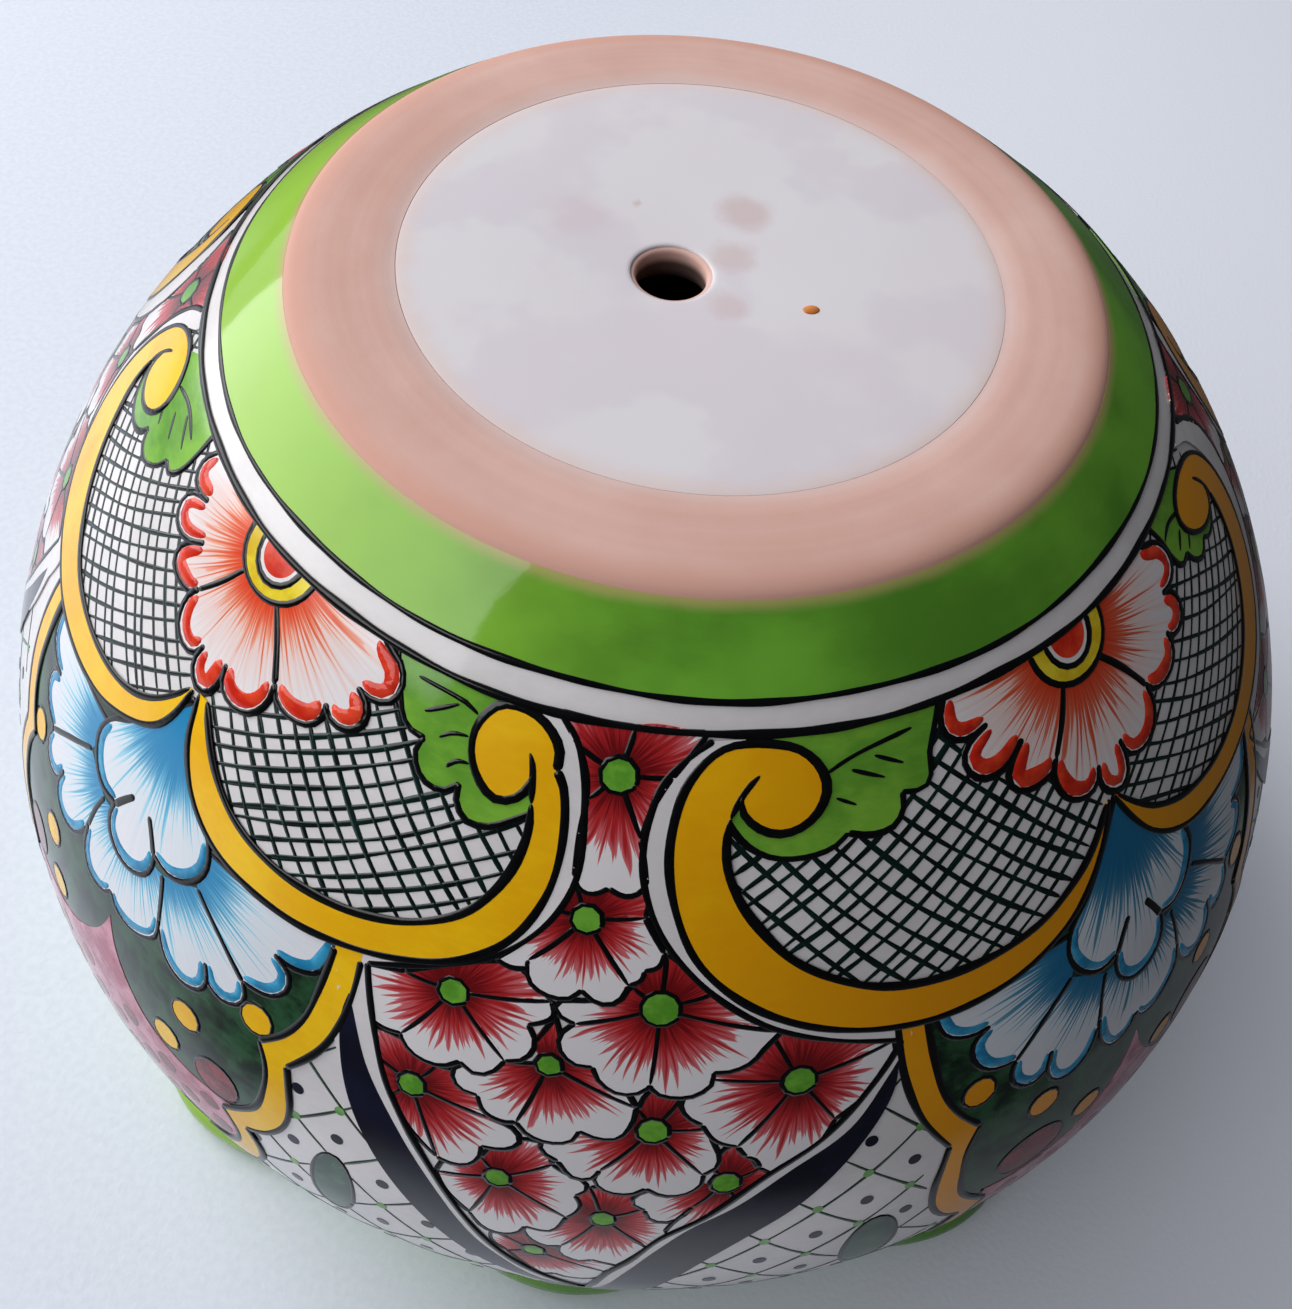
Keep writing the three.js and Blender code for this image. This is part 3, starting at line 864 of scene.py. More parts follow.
PANEL_LEFT = [(-7.5, 7.5), (-5.5, 12), (-4.2, 20), (-3.5, 30), (-3.3, 42), (-4.5, 52), (-6.5, 60),
              (-9, 66.5), (-13, 72.8), (-18, 79.6, C), (-17.6, 84), (-17, 90), (-14.8, 110),
              (-12.9, 121.7), (-10.3, 136.7), (-7.7, 153), (-5.5, 165.8), (-2.9, 178.3), (-0.5, 188),
              (1.2, 197)]
PANEL_RIGHT = [(7.3, 8.5), (5, 12.5), (3, 18), (2, 27), (1.9, 37), (2.8, 46), (4.5, 55), (7, 63.5),
               (9.5, 70), (13, 77), (17, 82), (23.4, 87.4, C), (22.6, 92), (20.9, 100),
               (17.6, 113.3), (13.5, 124.6), (9.5, 140), (6.6, 150), (4.7, 163.3), (3.3, 173.3),
               (2.6, 183.3), (2.0, 197)]
NAVY_LEFT = [(-18.8, 90), (-19, 97), (-18.5, 107.5), (-17.2, 121.7), (-14.8, 138.3), (-12, 153.3),
             (-9.1, 166.7), (-6.3, 178.3), (-2.9, 189), (0.6, 203, C), (1.0, 199), (-2, 186.7),
             (-4.3, 175), (-6.7, 163.3), (-10.1, 142.5), (-13.4, 124), (-16.3, 108.3), (-18.2, 94)]
NAVY_RIGHT = [(23.1, 93), (22.9, 101), (22.1, 108.3), (19.5, 123.3), (16.2, 138.3), (12.8, 150.5),
              (10, 163.3), (8.1, 176.7), (6.4, 190), (3.0, 203, C), (2.8, 196), (3.8, 180),
              (4.7, 170), (6.1, 158.3), (8.5, 145), (11.4, 136.2), (15.2, 123.3), (19.5, 111.7),
              (22, 99)]
BORDER_BACK_LEFT = [(-1.4, 198), (-5, 178), (-9, 160), (-13.5, 136), (-17.5, 116), (-19.2, 104),
                    (-19.8, 90, C), (-20.5, 80), (-20, 73), (-12.5, 66), (-7.8, 54), (-6.3, 42),
                    (-6.2, 28), (-7.6, 16), (-10.5, 7.6)]
BORDER_BACK_RIGHT = [(3.8, 198), (6.5, 176), (9, 160), (13.8, 140), (18, 124), (21.2, 108),
                     (23.3, 92, C), (24.2, 86), (22, 78), (15.5, 71), (9.5, 60), (6.8, 48),
                     (5.8, 36), (6.2, 24), (8, 14), (11, 8.6)]
NAVY_STEM = [(-1.6, 197, C), (-0.2, 212), (0.2, 262, C), (2.4, 262, C), (2.6, 212), (4.0, 197, C)]


def panel(at, flip=False):
    """The red flowered panel with its white border and navy bands."""
    def put(points):
        return shifted(points, at, flip)

    for heart, size, dividers, edges, level in PANEL_BLOSSOMS:
        blossom(put([heart])[0], size, [np.array(p) for p in put(dividers)],
                [put(edge) for edge in edges], 0.2 + 0.056 * level)
    for line, back, navy in ((PANEL_LEFT, BORDER_BACK_LEFT, NAVY_LEFT),
                             (PANEL_RIGHT, BORDER_BACK_RIGHT, NAVY_RIGHT)):
        fill("white_borders", put(square_ends(line) + back), BORDER_LEVEL)
        stroke("outlines", put(line), 1.7, BORDER_LEVEL + 0.045)
        fill("navy_bands", put(navy), NAVY_LEVEL)
    fill("navy_bands", put(NAVY_STEM), NAVY_LEVEL)


# The yellow scrolls

# Each scroll's edges and the bearing of the flower beside it, and, for both sets of its crossing
# lines, their slope in degrees and the gap between them in millimetres
SCROLLS = {
    "left of panel": {
        "outer": [(-41.3, 47.5), (-41, 51), (-40, 60), (-37.5, 69.5), (-34.5, 75.5), (-31, 78.6),
                  (-25, 79.8), (-21, 78.4), (-16, 75), (-11, 69), (-7.5, 60), (-5.5, 48), (-5, 38),
                  (-5.3, 28), (-6, 22), (-6.8, 19.5, C), (-7, 14.5), (-9, 9.8), (-11.5, 8.3),
                  (-13.5, 9.4), (-14.9, 15), (-14.7, 21), (-13.3, 26.5), (-11.5, 29.3), (-9.9, 28),
                  (-9, 25), (-8.8, 22)],
        "curl": [(-9.5, 17.2), (-9, 19.5), (-8.7, 22.5), (-8.3, 28)],
        "inner": [(-8.3, 28), (-8, 34), (-8.4, 42), (-9.6, 50), (-11.6, 57.5), (-15.5, 64.5),
                  (-20, 68.6), (-24, 70), (-28, 69.8), (-32.5, 66.6), (-36, 60.5), (-38.5, 53.5),
                  (-40.2, 47.5)],
        "flower": -42.0,
        "lattice": ((44.0, 4.95), (-29.4, 4.18))},
    "right of panel": {
        "outer": [(45.9, 50.6), (44.9, 57), (43.5, 62.8), (42, 68), (40, 73.3), (38, 76.8),
                  (35, 80.6), (31.5, 83), (26, 84),
                  (20, 81.4), (15, 76.6), (10.5, 69), (7, 59), (5, 47), (4.1, 36), (4.2, 27), (5, 19),
                  (6.7, 13), (8.5, 10), (10.5, 9.1), (13, 9.4), (15.5, 11), (17.3, 15), (17.9, 20),
                  (17, 25), (15.3, 28.3), (13.3, 29.2), (11.5, 27.5), (10.2, 24), (10.1, 20.5)],
        "curl": [(11.7, 16), (10.6, 18.8), (9.8, 21.8), (9.1, 25.5)],
        "inner": [(9.1, 25.5), (8.8, 31), (9, 37), (10.2, 45), (12, 52), (14.5, 59.6), (18, 66.2),
                  (22, 71), (27, 73.2), (33, 72.4), (37, 69.8), (39.5, 66.3), (42, 61.9), (44, 56.6),
                  (45.5, 51.2)],
        "flower": 47.5,
        "lattice": ((41.8, 5.4), (-32.5, 4.25))},
    "far left": {
        "outer": [(-42.2, 48.5), (-42.7, 57), (-43.7, 63.3), (-45, 67.1), (-46.5, 70.1),
                  (-48.5, 73.3), (-51, 76.4), (-54.5, 78.9), (-58.5, 80.2), (-63, 80.4), (-68, 78.3),
                  (-73, 74.5), (-77.5, 67.6), (-80.5, 59), (-82.8, 47),
                  (-83.4, 36), (-83, 27), (-81.8, 19.5), (-80, 14.7), (-78, 12.2), (-75.5, 11.2),
                  (-73, 12.6), (-71, 16.6), (-70.2, 21.5), (-70.8, 26), (-72.5, 29.6), (-75, 31),
                  (-77.5, 29.5), (-78.6, 26), (-78.6, 22.5)],
        "curl": [(-77.4, 18.5), (-78.3, 21), (-79, 24.5), (-79.3, 29)],
        "inner": [(-79.3, 29), (-78.6, 37), (-76.5, 44.5), (-74, 51.5), (-71, 58), (-67.5, 63.8),
                  (-63.5, 68.4), (-58.5, 69.9), (-53.5, 69.2), (-50, 67.1), (-47.5, 64), (-45.5, 59.8),
                  (-43.8, 54.4), (-42.5, 48.8)],
        "flower": -42.0,
        "lattice": ((35.5, 4.7), (-35.5, 4.4))},
    "far right": {
        "outer": [(46.6, 50.6), (47.5, 56.5), (48.7, 62.8), (50, 68), (52, 73.3), (54.5, 77.5),
                  (57, 79.8), (60.5, 81), (65, 81.2),
                  (70, 79.8), (75, 75.8), (79.5, 69), (83, 59.5), (85.3, 48), (86, 37), (85.6, 27),
                  (84.3, 20), (82, 14.6), (79, 11.6), (76, 11), (73.5, 12.5), (72.2, 16), (72.6, 20.5),
                  (74.5, 25.4), (77, 28.6), (79.6, 29), (81, 26.2), (81, 22.5)],
        "curl": [(79.6, 18), (80.4, 20.5), (81.1, 24), (81.5, 28.5)],
        "inner": [(81.5, 28.5), (81.2, 37), (80, 45.5), (77.8, 53.5), (74.8, 60.8), (70.8, 67.2),
                  (66, 71.6), (61.5, 72.6), (58, 71.4), (55, 69), (53, 66.3), (51, 62.8),
                  (49, 57.5), (47, 51.2)],
        "flower": 47.5,
        "lattice": ((28.4, 4.95), (-31.5, 4.6))},
}


def line_share(part):
    """The far scrolls were painted with a finer brush."""
    return 0.8 if part.startswith("far") else 1.0


def scroll(part, at):
    """A yellow scroll with its curl, and the crossing lines that it holds."""
    traced = SCROLLS[part]
    outer, curl, inner = [shifted(traced[key], at) for key in ("outer", "curl", "inner")]
    fill("yellow_scrolls", square_ends(outer) + square_ends(inner), SCROLL_LEVEL)
    for line, width in ((outer, 2.1), (curl, 1.7), (inner, 2.1)):
        stroke("outlines", line, width * line_share(part), SCROLL_LEVEL + 0.05, ends=(1.0, 1.0))
    lattice(inner, at + traced["flower"], part)


# The coral half flowers

FLOWER_CENTRE = -42.0  # the bearing that a flower is widened about
FLOWER_MIDDLE = -41.9  # the bearing of the middle of its ring
FLOWER_TALL = 1.085  # of the right-hand flower, against the left-hand one
# Each petal's edge, and how high it stands
FLOWER_PETALS = [
    ([(-44.6, 16.6), (-46, 23.4), (-47.9, 30.2, C), (-48.5, 33), (-48.4, 37), (-47.4, 41.2),
      (-45.4, 43), (-44.2, 41.6), (-43.6, 38, C), (-43.8, 43), (-43, 46), (-41.7, 47.4),
      (-40.6, 45.6), (-40.2, 42), (-40.4, 36.5, C), (-39.7, 41.6), (-37.8, 43.4), (-35.8, 41.5),
      (-34.7, 36.5), (-34.9, 31.5, C), (-37, 23), (-39.2, 16.6)], 0.42),
    ([(-39.2, 16.6), (-37, 22.6), (-34.9, 31, C), (-34.3, 33.5), (-33, 35.2), (-31.2, 35.2),
      (-29.8, 33.6), (-29.1, 30.5), (-29.3, 27, C), (-28.7, 29.3), (-27.4, 30.2), (-25.9, 29),
      (-25.2, 26), (-25.6, 22.4), (-27.2, 19.8, C), (-25.2, 20.5), (-23.6, 18.8), (-23.1, 15),
      (-24, 10.6), (-26, 8.2), (-26.8, 6.8)], 0.40),
    ([(-44.6, 16.6), (-46, 23), (-47.8, 30, C), (-48.6, 32.6), (-50.6, 33.6), (-52.4, 32.6),
      (-53.2, 29.6), (-52.6, 26), (-50.8, 22, C), (-53.6, 26.4), (-55.8, 26.2), (-57.1, 22.6),
      (-56.8, 19), (-54, 15.4, C), (-57, 16.6), (-58.5, 14), (-58.6, 10.5), (-57.8, 6.8)], 0.41),
]


def half_disc(wide, tall, closed=True):
    """The lower half of an oval that is cut by the band line."""
    arc = [(FLOWER_MIDDLE + wide * math.cos(t), BAND_LINE_ARC + tall * math.sin(t))
           for t in np.linspace(0, math.pi, 15)]
    return square_ends(arc) if closed else arc


def coral_flower(at, tall=1.0, wide=1.0):
    """A half flower that hangs from the band line, with coral scallops and a yellow ring."""
    def put(points):
        return shifted(points, at, centre=FLOWER_CENTRE, wide=wide, tall=tall)

    heart = put([(FLOWER_MIDDLE, 7.0)])[0]
    for number, (edge, height) in enumerate(FLOWER_PETALS):
        edge = put(edge)
        fill("coral_petals", [(*heart, C)] + square_ends(edge), height, heart, 36.0 * tall)
        scallops = runs_of(edge)[1:]
        for run in scallops[:-1] if number == 0 else scallops:
            rim_marks("coral_rims", run, heart, 3.9, height + 0.03)
        stroke("outlines", edge, 1.75, height + 0.05)
    fill("ring_yellow", put(half_disc(5.1, 10.6)), 0.50)
    for ring_wide, ring_tall, width in ((5.3, 11.2, 1.7), (3.2, 7.6, 1.8)):
        stroke("outlines", put(half_disc(ring_wide, ring_tall, False)), width, 0.54)
    fill("white_borders", put(half_disc(2.9, 6.8)), 0.515)
    fill("coral_discs", put(half_disc(2.45, 5.7)), 0.53)


# The leaves, and the crossing lines inside the scrolls

# Each leaf's outline and its veins
LEAVES = {
    "left of panel": ([(-25.2, 6.8, C), (-24.2, 11), (-23, 16), (-22, 20), (-21, 22), (-19.2, 22.5, C),
                       (-19.7, 25), (-19, 29.5), (-17.5, 32), (-16, 31.6), (-14.9, 28.8, C),
                       (-14.7, 33), (-13.4, 36.4), (-11.5, 36), (-9.5, 32.6), (-7.6, 29, C),
                       (-8.6, 15), (-11, 6.8, C)],
                      [[(-22, 10.6), (-18.5, 11), (-16.5, 11.6), (-15.2, 13)],
                       [(-20.2, 17), (-17.2, 12.4)], [(-18, 21), (-17, 19), (-15.4, 18.3)],
                       [(-16.5, 26.6), (-15.8, 24.4), (-14.6, 24)]]),
    "right of panel": ([(30.4, 6.8, C), (29.2, 13), (28.3, 18), (28.2, 22), (27.4, 24.8), (25, 24.4, C),
                        (25, 28), (24, 31.6), (22, 32.6), (19.6, 31, C), (18.4, 33.6), (16, 35.2),
                        (13, 34.8), (10.6, 31.6), (8.6, 25, C), (9.5, 14), (14, 6.8, C)],
                       [[(18, 17), (21, 13.8), (27, 10.8)], [(20.4, 17), (23.6, 20.2)],
                        [(22.8, 14.8), (25.6, 18)], [(18.7, 22.7), (20.6, 25)]]),
    "far left": ([(-60.5, 6.8, C), (-60.2, 14), (-60.4, 20), (-61.6, 24), (-63.2, 23.4, C),
                  (-64, 28), (-66.2, 32), (-68.4, 31.4), (-69.4, 28.6, C), (-70.6, 33.4),
                  (-73.4, 35.8), (-76.4, 34.6), (-79, 29, C), (-77, 16), (-73, 6.8, C)],
                 [[(-71, 15), (-67, 12.4), (-62.5, 14)], [(-68, 17.4), (-65.4, 21.6)],
                  [(-66, 13.4), (-62.6, 18)], [(-70.4, 21.6), (-68.6, 24.6)]]),
    "far right": ([(66.5, 6.8, C), (67.4, 13), (67.6, 19), (68.6, 23.6), (70.4, 23.2, C), (71.2, 27.6),
                   (73, 30.6), (75, 28.6, C), (76.4, 31.6), (78.8, 31.4), (81, 28, C), (80, 16),
                   (76, 6.8, C)],
                  [[(73, 14.6), (70, 12.6), (67.8, 14)], [(71.4, 17.4), (69.4, 20.6)],
                   [(72.6, 21.6), (71.2, 24)]]),
}


def leaf(part, at):
    """A lobed leaf beside a scroll's curl."""
    outline, veins = LEAVES[part]
    outline = shifted(outline, at)
    fill("leaves", outline, LEAF_LEVEL)
    stroke("outlines", outline[:-2], 1.6, LEAF_LEVEL + 0.05)
    for vein in veins:
        stroke("outlines", shifted(vein, at), 1.25, LEAF_LEVEL + 0.05, ends=(0.8, 1.5))


def inside(points, polygon):
    """Which points lie inside a closed outline."""
    x, y = points[:, 0], points[:, 1]
    result = np.zeros(len(points), bool)
    for (x0, y0), (x1, y1) in zip(polygon, np.roll(polygon, -1, axis=0)):
        crosses = (y0 > y) != (y1 > y)
        at = (x1 - x0) * (y - y0) / (y1 - y0 + 1e-12) + x0
        result ^= crosses & (x < at)
    return result


def clipped(name, points, keep, avoid, width, height, shortest=3):
    """Adds the stretches of a line that lie inside one outline and outside others."""
    good = inside(points, keep)
    for outline in avoid:
        good &= ~inside(points, outline)
    edges = np.flatnonzero(np.diff(np.concatenate([[0], good.astype(int), [0]])))
    for first, last in zip(edges[::2], edges[1::2]):
        if last - first > shortest:
            stroke(name, points[first:last], width, height, ends=(1.0, 1.0), ragged=0.2)


def lattice(inner, flower_at, part):
    """Hand-drawn crossing lines inside a scroll, ending beneath the flower and the leaf."""
    middle_degree = math.radians(175.0)
    flower = SCROLLS[part]["flower"]
    side = 1 if inner[0][0] > flower_at else -1
    keep = path(square_ends(inner) + [(flower_at + side * 1.0, 46, C), (flower_at + side * 2.0, 7.8, C),
                                      (inner[0][0], 7.8, C), inner[0]])
    centre = keep.mean(axis=0)
    tall = 1.0 if flower < 0 else FLOWER_TALL
    over = [path(list(edge) + [(FLOWER_MIDDLE, 7)]) for edge, _ in FLOWER_PETALS]
    over = [np.stack([p[:, 0] + flower_at - FLOWER_CENTRE, BAND_LINE_ARC + (p[:, 1] - BAND_LINE_ARC) * tall],
                     1) for p in over]
    over.append(path(shifted(LEAVES[part][0], flower_at - flower)))
    over = [outline.mean(axis=0) + (outline - outline.mean(axis=0)) * 0.95 for outline in over]
    along = np.arange(-95.0, 95.0, 1.0)
    for slope, gap in SCROLLS[part]["lattice"]:
        for index in range(-22, 23):
            tilt = math.radians(slope + rng.uniform(-1.4, 1.4))
            offset = index * gap + rng.uniform(-0.35, 0.35)
            bend = rng.uniform(-0.0004, 0.0004) * along**2
            sway = 0.25 * np.sin(along / rng.uniform(7, 12) + rng.uniform(0, 6))
            across = offset + bend + sway
            x = along * math.cos(tilt) - across * math.sin(tilt)
            y = along * math.sin(tilt) + across * math.cos(tilt)
            line = np.stack([centre[0] + x / middle_degree, centre[1] + y], 1)
            width = rng.uniform(1.1, 1.45) * line_share(part)
            clipped("lattice_lines", line, keep, over, width, LATTICE_LEVEL)


# The framed blue flowers

FRAME_TOP = 80
BLUE_TOP = [(0.3, 50, C), (-2.6, 61), (-5.2, 71.5), (-7.3, 77.5), (-8, 84), (-7, 91), (-5, 95),
            (-2.9, 94, C), (-3.1, 98), (-2.6, 102.4), (-1, 105.8), (1, 105.8), (2.6, 102.4),
            (3.1, 98), (2.9, 94, C), (5, 95.2), (7.1, 91.4), (8.2, 84.5), (7.6, 77.5), (5.4, 71),
            (2.8, 61)]
# Each lower petal with its heart and the reach of its brush hairs
BLUE_LOWER = [
    ([(6.5, 79), (13, 79.6), (20.8, 79.5, C), (20.7, 84), (20, 90), (18, 92.6), (16.2, 92, C),
     (17.8, 95), (18, 100), (16.8, 104.8), (14.2, 106.2, C), (11, 98), (8, 91)], (3.0, 82), 58.0),
    ([(8, 91), (11, 98), (14.2, 106.2, C), (14.7, 110), (14.4, 114), (12.8, 117), (11.2, 115),
     (10.6, 109.6, C), (11.1, 115), (10.6, 120), (8.8, 122.6), (6.8, 120), (5.4, 112.5, C),
     (4.9, 103), (4.4, 97)], (2.4, 84), 51.0),
    ([(4.4, 97), (5, 104), (5.3, 110.5, C), (5.3, 117), (4, 121.4), (2, 123.8), (0.2, 122.6),
     (-0.5, 119.4, C), (-1.5, 123.4), (-3.6, 124), (-5, 119), (-5.2, 110.5, C), (-4.9, 103),
     (-4.3, 97)], (0.0, 86), 45.0),
]
FRAME_INNER = [(21.2, 80), (21.1, 86), (20.8, 95), (20.3, 104), (19, 113), (17, 120.4, C), (17.9, 128),
               (18, 137), (17.4, 148), (15.7, 156), (14.2, 161, C), (15.5, 170), (15.2, 179),
               (13.4, 188), (11.3, 194, C), (11.8, 202), (10, 211), (6.6, 218.6), (4.4, 221.6, C),
               (3, 229), (0, 237)]
FRAME_OUTER = [(23.5, 80), (23.5, 90), (23.1, 100), (22, 111), (19.6, 123.6, C), (20, 131),
               (20.3, 140), (19.9, 149), (18.5, 157.6), (16.5, 163.4, C), (17.6, 172), (17.4, 182),
               (15.4, 191), (13.3, 196.4, C), (13.9, 205), (12.1, 214), (8.4, 222.4), (6, 225.6, C),
               (4.5, 234), (0, 244)]
YELLOW_OVALS = [(16.4, 114.6), (10, 133.5)]
CRIMSON_SPOTS = [(3.2, 162.5), (7.6, 167), (12.4, 165.5), (1.4, 171.6), (5.4, 174), (10, 174.4),
                 (13.4, 176), (3, 181), (8, 182.6)]
PINK_PETAL = [(0, 128, C), (1.2, 138), (3, 146), (5.6, 153.6), (9, 157.6), (12.4, 158.4), (15.6, 157, C),
              (15.8, 170), (14.4, 180), (11.6, 185.4), (8.6, 183.6, C), (7, 188.6), (3.6, 190),
              (0, 185, C)]
FOOT_LEAF = [(0.4, 186, C), (5, 190), (9.6, 192), (10.4, 199, C), (8.6, 206), (6, 213, C), (3.6, 218),
             (0.8, 226, C)]
FOOT_VEIN = [(1.4, 218), (3.2, 206), (6.6, 196)]


def lowered(points, tall, narrow):
    """Points stretched down from the scrolls, and drawn in towards the medallion's foot."""
    made = []
    for point in points:
        below = max(point[1] - FRAME_TOP, 0)
        bearing = point[0] * (1 - narrow * min(below / 40, 1))
        made.append((bearing, point[1] + below * (tall - 1), *point[2:]))
    return made


def medallion(at, frame_shape, flower_shape, third_oval, plum_oval):
    """The framed blue flower on mottled green, closed below with pink petals and leaves."""
    def put(points, flip=False):
        return shifted(lowered(points, *flower_shape), at + 0.3, flip)

    def put_frame(points, flip=False):
        return shifted(lowered(points, *frame_shape), at, flip)

    half = [(21.2, 72, C), *FRAME_INNER[:-1]]
    tip = (at, put_frame(FRAME_INNER[-1:])[0][1], C)
    fill("medallion_grounds", put_frame(half) + [tip] + put_frame(half, True)[::-1], GROUND_LEVEL)
    rail = [(23.5, 74, C), *FRAME_OUTER[:-1], (*FRAME_OUTER[-1], C), (*FRAME_INNER[-1], C),
            *FRAME_INNER[-2::-1], (21.2, 74, C)]
    for flip in (False, True):
        fill("medallion_frames", put_frame(rail, flip), FRAME_LEVEL)
        for line in (FRAME_OUTER, FRAME_INNER):
            stroke("outlines", put_frame(line, flip), 2.0, FRAME_LEVEL + 0.045)
    for flip in (False, True):
        petals = BLUE_LOWER[:2] if flip else BLUE_LOWER
        for number, (edge, heart, reach) in enumerate(petals):
            blue_petal(put(edge, flip), put([heart], flip)[0], reach, 0.15 + 0.012 * number)
        for spot in (*YELLOW_OVALS, third_oval):
            ring = oval(shifted([spot], at, flip)[0], 1.5, 4.9)
            fill("yellow_ovals", ring, SPOT_LEVEL)
            ring_line(ring, 1.2, SPOT_LEVEL + 0.03)
        plum = oval(shifted([plum_oval[:2]], at, flip)[0], *plum_oval[2:])
        fill("plum_ovals", plum, SPOT_LEVEL)
        ring_line(plum, 1.0, SPOT_LEVEL + 0.03)
    top_petal(put)
    lower_medallion(put)


def blue_petal(edge, heart, reach, height):
    """One of the blue flower's lower petals, marked along its scallops."""
    fill("blue_petals", [*edge[:-1], (*edge[-1], C)], height, heart, reach)
    for run in runs_of(edge)[1:-1]:
        rim_marks("blue_rims", run, heart, 3.1, height + 0.03)
    stroke("outlines", edge, 1.7, height + 0.06)


def top_petal(put):
    """The blue flower's wide top petal, with two short folds."""
    edge, heart, height = put(BLUE_TOP), put([(0.3, 52.0)])[0], 0.26
    fill("blue_petals", edge, height, heart, 56.0)
    for run in runs_of(edge + [edge[0]]):
        lobe = [p for p in run if p[1] > 76]
        if len(lobe) > 2:
            rim_marks("blue_rims", lobe, heart, 3.1, height + 0.03)
    stroke("outlines", edge, 1.8, height + 0.06)
    for side in (-1, 1):
        fold = [(side * 1.1, 86), (side * 1.9, 89.4), (side * 2.9, 94.4)]
        stroke("outlines", put(fold), 2.2, height + 0.06)


def lower_medallion(put):
    """The hidden foot of the medallion: pink petals with crimson spots over two leaves."""
    for flip in (False, True):
        leaf_shape, vein, pink = [put(points, flip) for points in (FOOT_LEAF, FOOT_VEIN, PINK_PETAL)]
        fill("leaves", leaf_shape, 0.16)
        stroke("outlines", leaf_shape, 1.5, 0.20)
        stroke("outlines", vein, 1.3, 0.20, ends=(0.8, 2))
        fill("pink_petals", pink, 0.22)
        stroke("outlines", pink[6:], 1.2, 0.26)
        for number, spot in enumerate(CRIMSON_SPOTS):
            tall = 3.4 + 0.4 * math.sin(number * 2.3)
            fill("crimson_spots", oval(put([spot], flip)[0], 1.05, tall, 10), 0.25)


# The green nets

# The zones beside a panel that the nets fill
NET_LEFT = [(-19.4, 94), (-18.3, 112), (-14, 136), (-9, 162), (-4, 182), (0.6, 200, C), (1.0, 262, C),
            (-41, 262, C), (-41, 246), (-35.4, 228), (-29, 214), (-27.2, 196), (-25.6, 182),
            (-24.6, 172), (-25.8, 163), (-22.4, 152), (-21.8, 136), (-22.8, 123), (-20.8, 108),
            (-19.9, 96)]
NET_RIGHT = [(22.8, 94), (21.4, 112), (17.2, 132), (11.8, 150), (7.4, 172), (3, 190), (1.6, 200, C),
             (1.4, 262, C), (46, 262, C), (46, 246), (38, 224), (32.6, 204), (29.8, 186), (29, 172),
             (30.6, 164), (26.8, 150), (26.2, 136), (27, 126), (24.4, 110), (23.6, 96)]


def net(at, flip, outline, node, leaf_oval):
    """Thin green diamonds between a navy band and a medallion, with dots and an oval leaf."""
    def put(points):
        return shifted(points, at, flip)

    slope, gap = 3.45, 24.8
    top, foot = 88, 257
    zone = path(put(outline))
    leaf_edge = put(oval(leaf_oval[:2], *leaf_oval[2:]))
    leaf_path = path(leaf_edge)
    falls = [node[1] - slope * node[0] + gap * n for n in range(-9, 10)]
    rises = [node[1] + slope * node[0] + gap * n for n in range(-9, 10)]
    bearings = np.arange(-44, 48, 0.25)
    for starts, sign in ((falls, 1), (rises, -1)):
        for start in starts:
            arcs = sign * slope * bearings + start + 0.5 * np.sin(bearings / 2.2 + start)
            good = (arcs > top) & (arcs < foot)
            if good.sum() > 7:
                line = np.array(put(list(zip(bearings[good], arcs[good]))))
                clipped("net_lines", evenly(line, 1.0), zone, [leaf_path], 0.95, NET_LEVEL, 2)
    for p in falls:
        for q in rises:
            for down, wide, tall, name in ((0.0, 0.42, 1.5, "net_dots"), (gap / 2, 0.52, 1.9, "navy_dots")):
                crossing = ((q - p) / (2 * slope) + rng.uniform(-0.2, 0.2),
                            (p + q) / 2 + down + rng.uniform(-0.7, 0.7))
                centre = put([crossing])[0]
                edge = np.array(oval(centre, wide, tall, 6))
                free = inside(edge, zone).all() and not inside(edge, leaf_path).any()
                if free and top + 7 < centre[1] < foot - 3:
                    fill(name, oval(centre, wide, tall, 10), NET_LEVEL + 0.04)
    fill("oval_leaves", leaf_edge, NET_LEVEL + 0.06)
    ring_line(leaf_edge, 1.3, NET_LEVEL + 0.10)


# The whole pattern

SECOND_PANEL = -88.0  # mirrored, from the first one


def half_pot(turn):
    """Everything painted on half of the pot's circle."""
    panel(turn)
    panel(turn + SECOND_PANEL, True)
    for part in SCROLLS:
        scroll(part, turn)
        leaf(part, turn)
    coral_flower(turn)
    coral_flower(turn + 89.5, FLOWER_TALL, 1.04)
    medallion(turn - 42.0, frame_shape=(1.0, 0.0), flower_shape=(1.0, 0.0), third_oval=(8.1, 150),
              plum_oval=(13.5, 150.3, 2.2, 7.6))
    medallion(turn + 46.5, frame_shape=(1.17, 0.05), flower_shape=(1.13, 0.08), third_oval=(4.7, 152),
              plum_oval=(10.2, 156.4, 3.2, 9.6))
    for at, flip in ((turn, False), (turn + SECOND_PANEL, True)):
        net(at, flip, NET_LEFT, node=(-17.5, 128.5), leaf_oval=(-17.9, 167, 1.75, 17.5))
        net(at, flip, NET_RIGHT, node=(21.5, 131), leaf_oval=(22.9, 173, 2.1, 18))


def band_lines():
    """The black lines round the whole pot, above and below the ornament."""
    bearings = np.linspace(-180, 180, 1001)
    turns = np.radians(bearings)
    for arc, width, height, seed in ((-0.2, 1.5, 0.35, 0), (6.9, 1.7, 0.66, 2), (262, 1.8, 0.6, 4),
                                     (270, 1.6, 0.35, 6)):
        arcs = arc + 0.35 * np.sin(3 * turns + seed) + 0.2 * np.sin(11 * turns + 2 * seed)
        stroke("band_lines", np.stack([bearings, arcs], 1), width, height, LINE_ENDS, ragged=0.18)


half_pot(0.0)
half_pot(180.0)
band_lines()


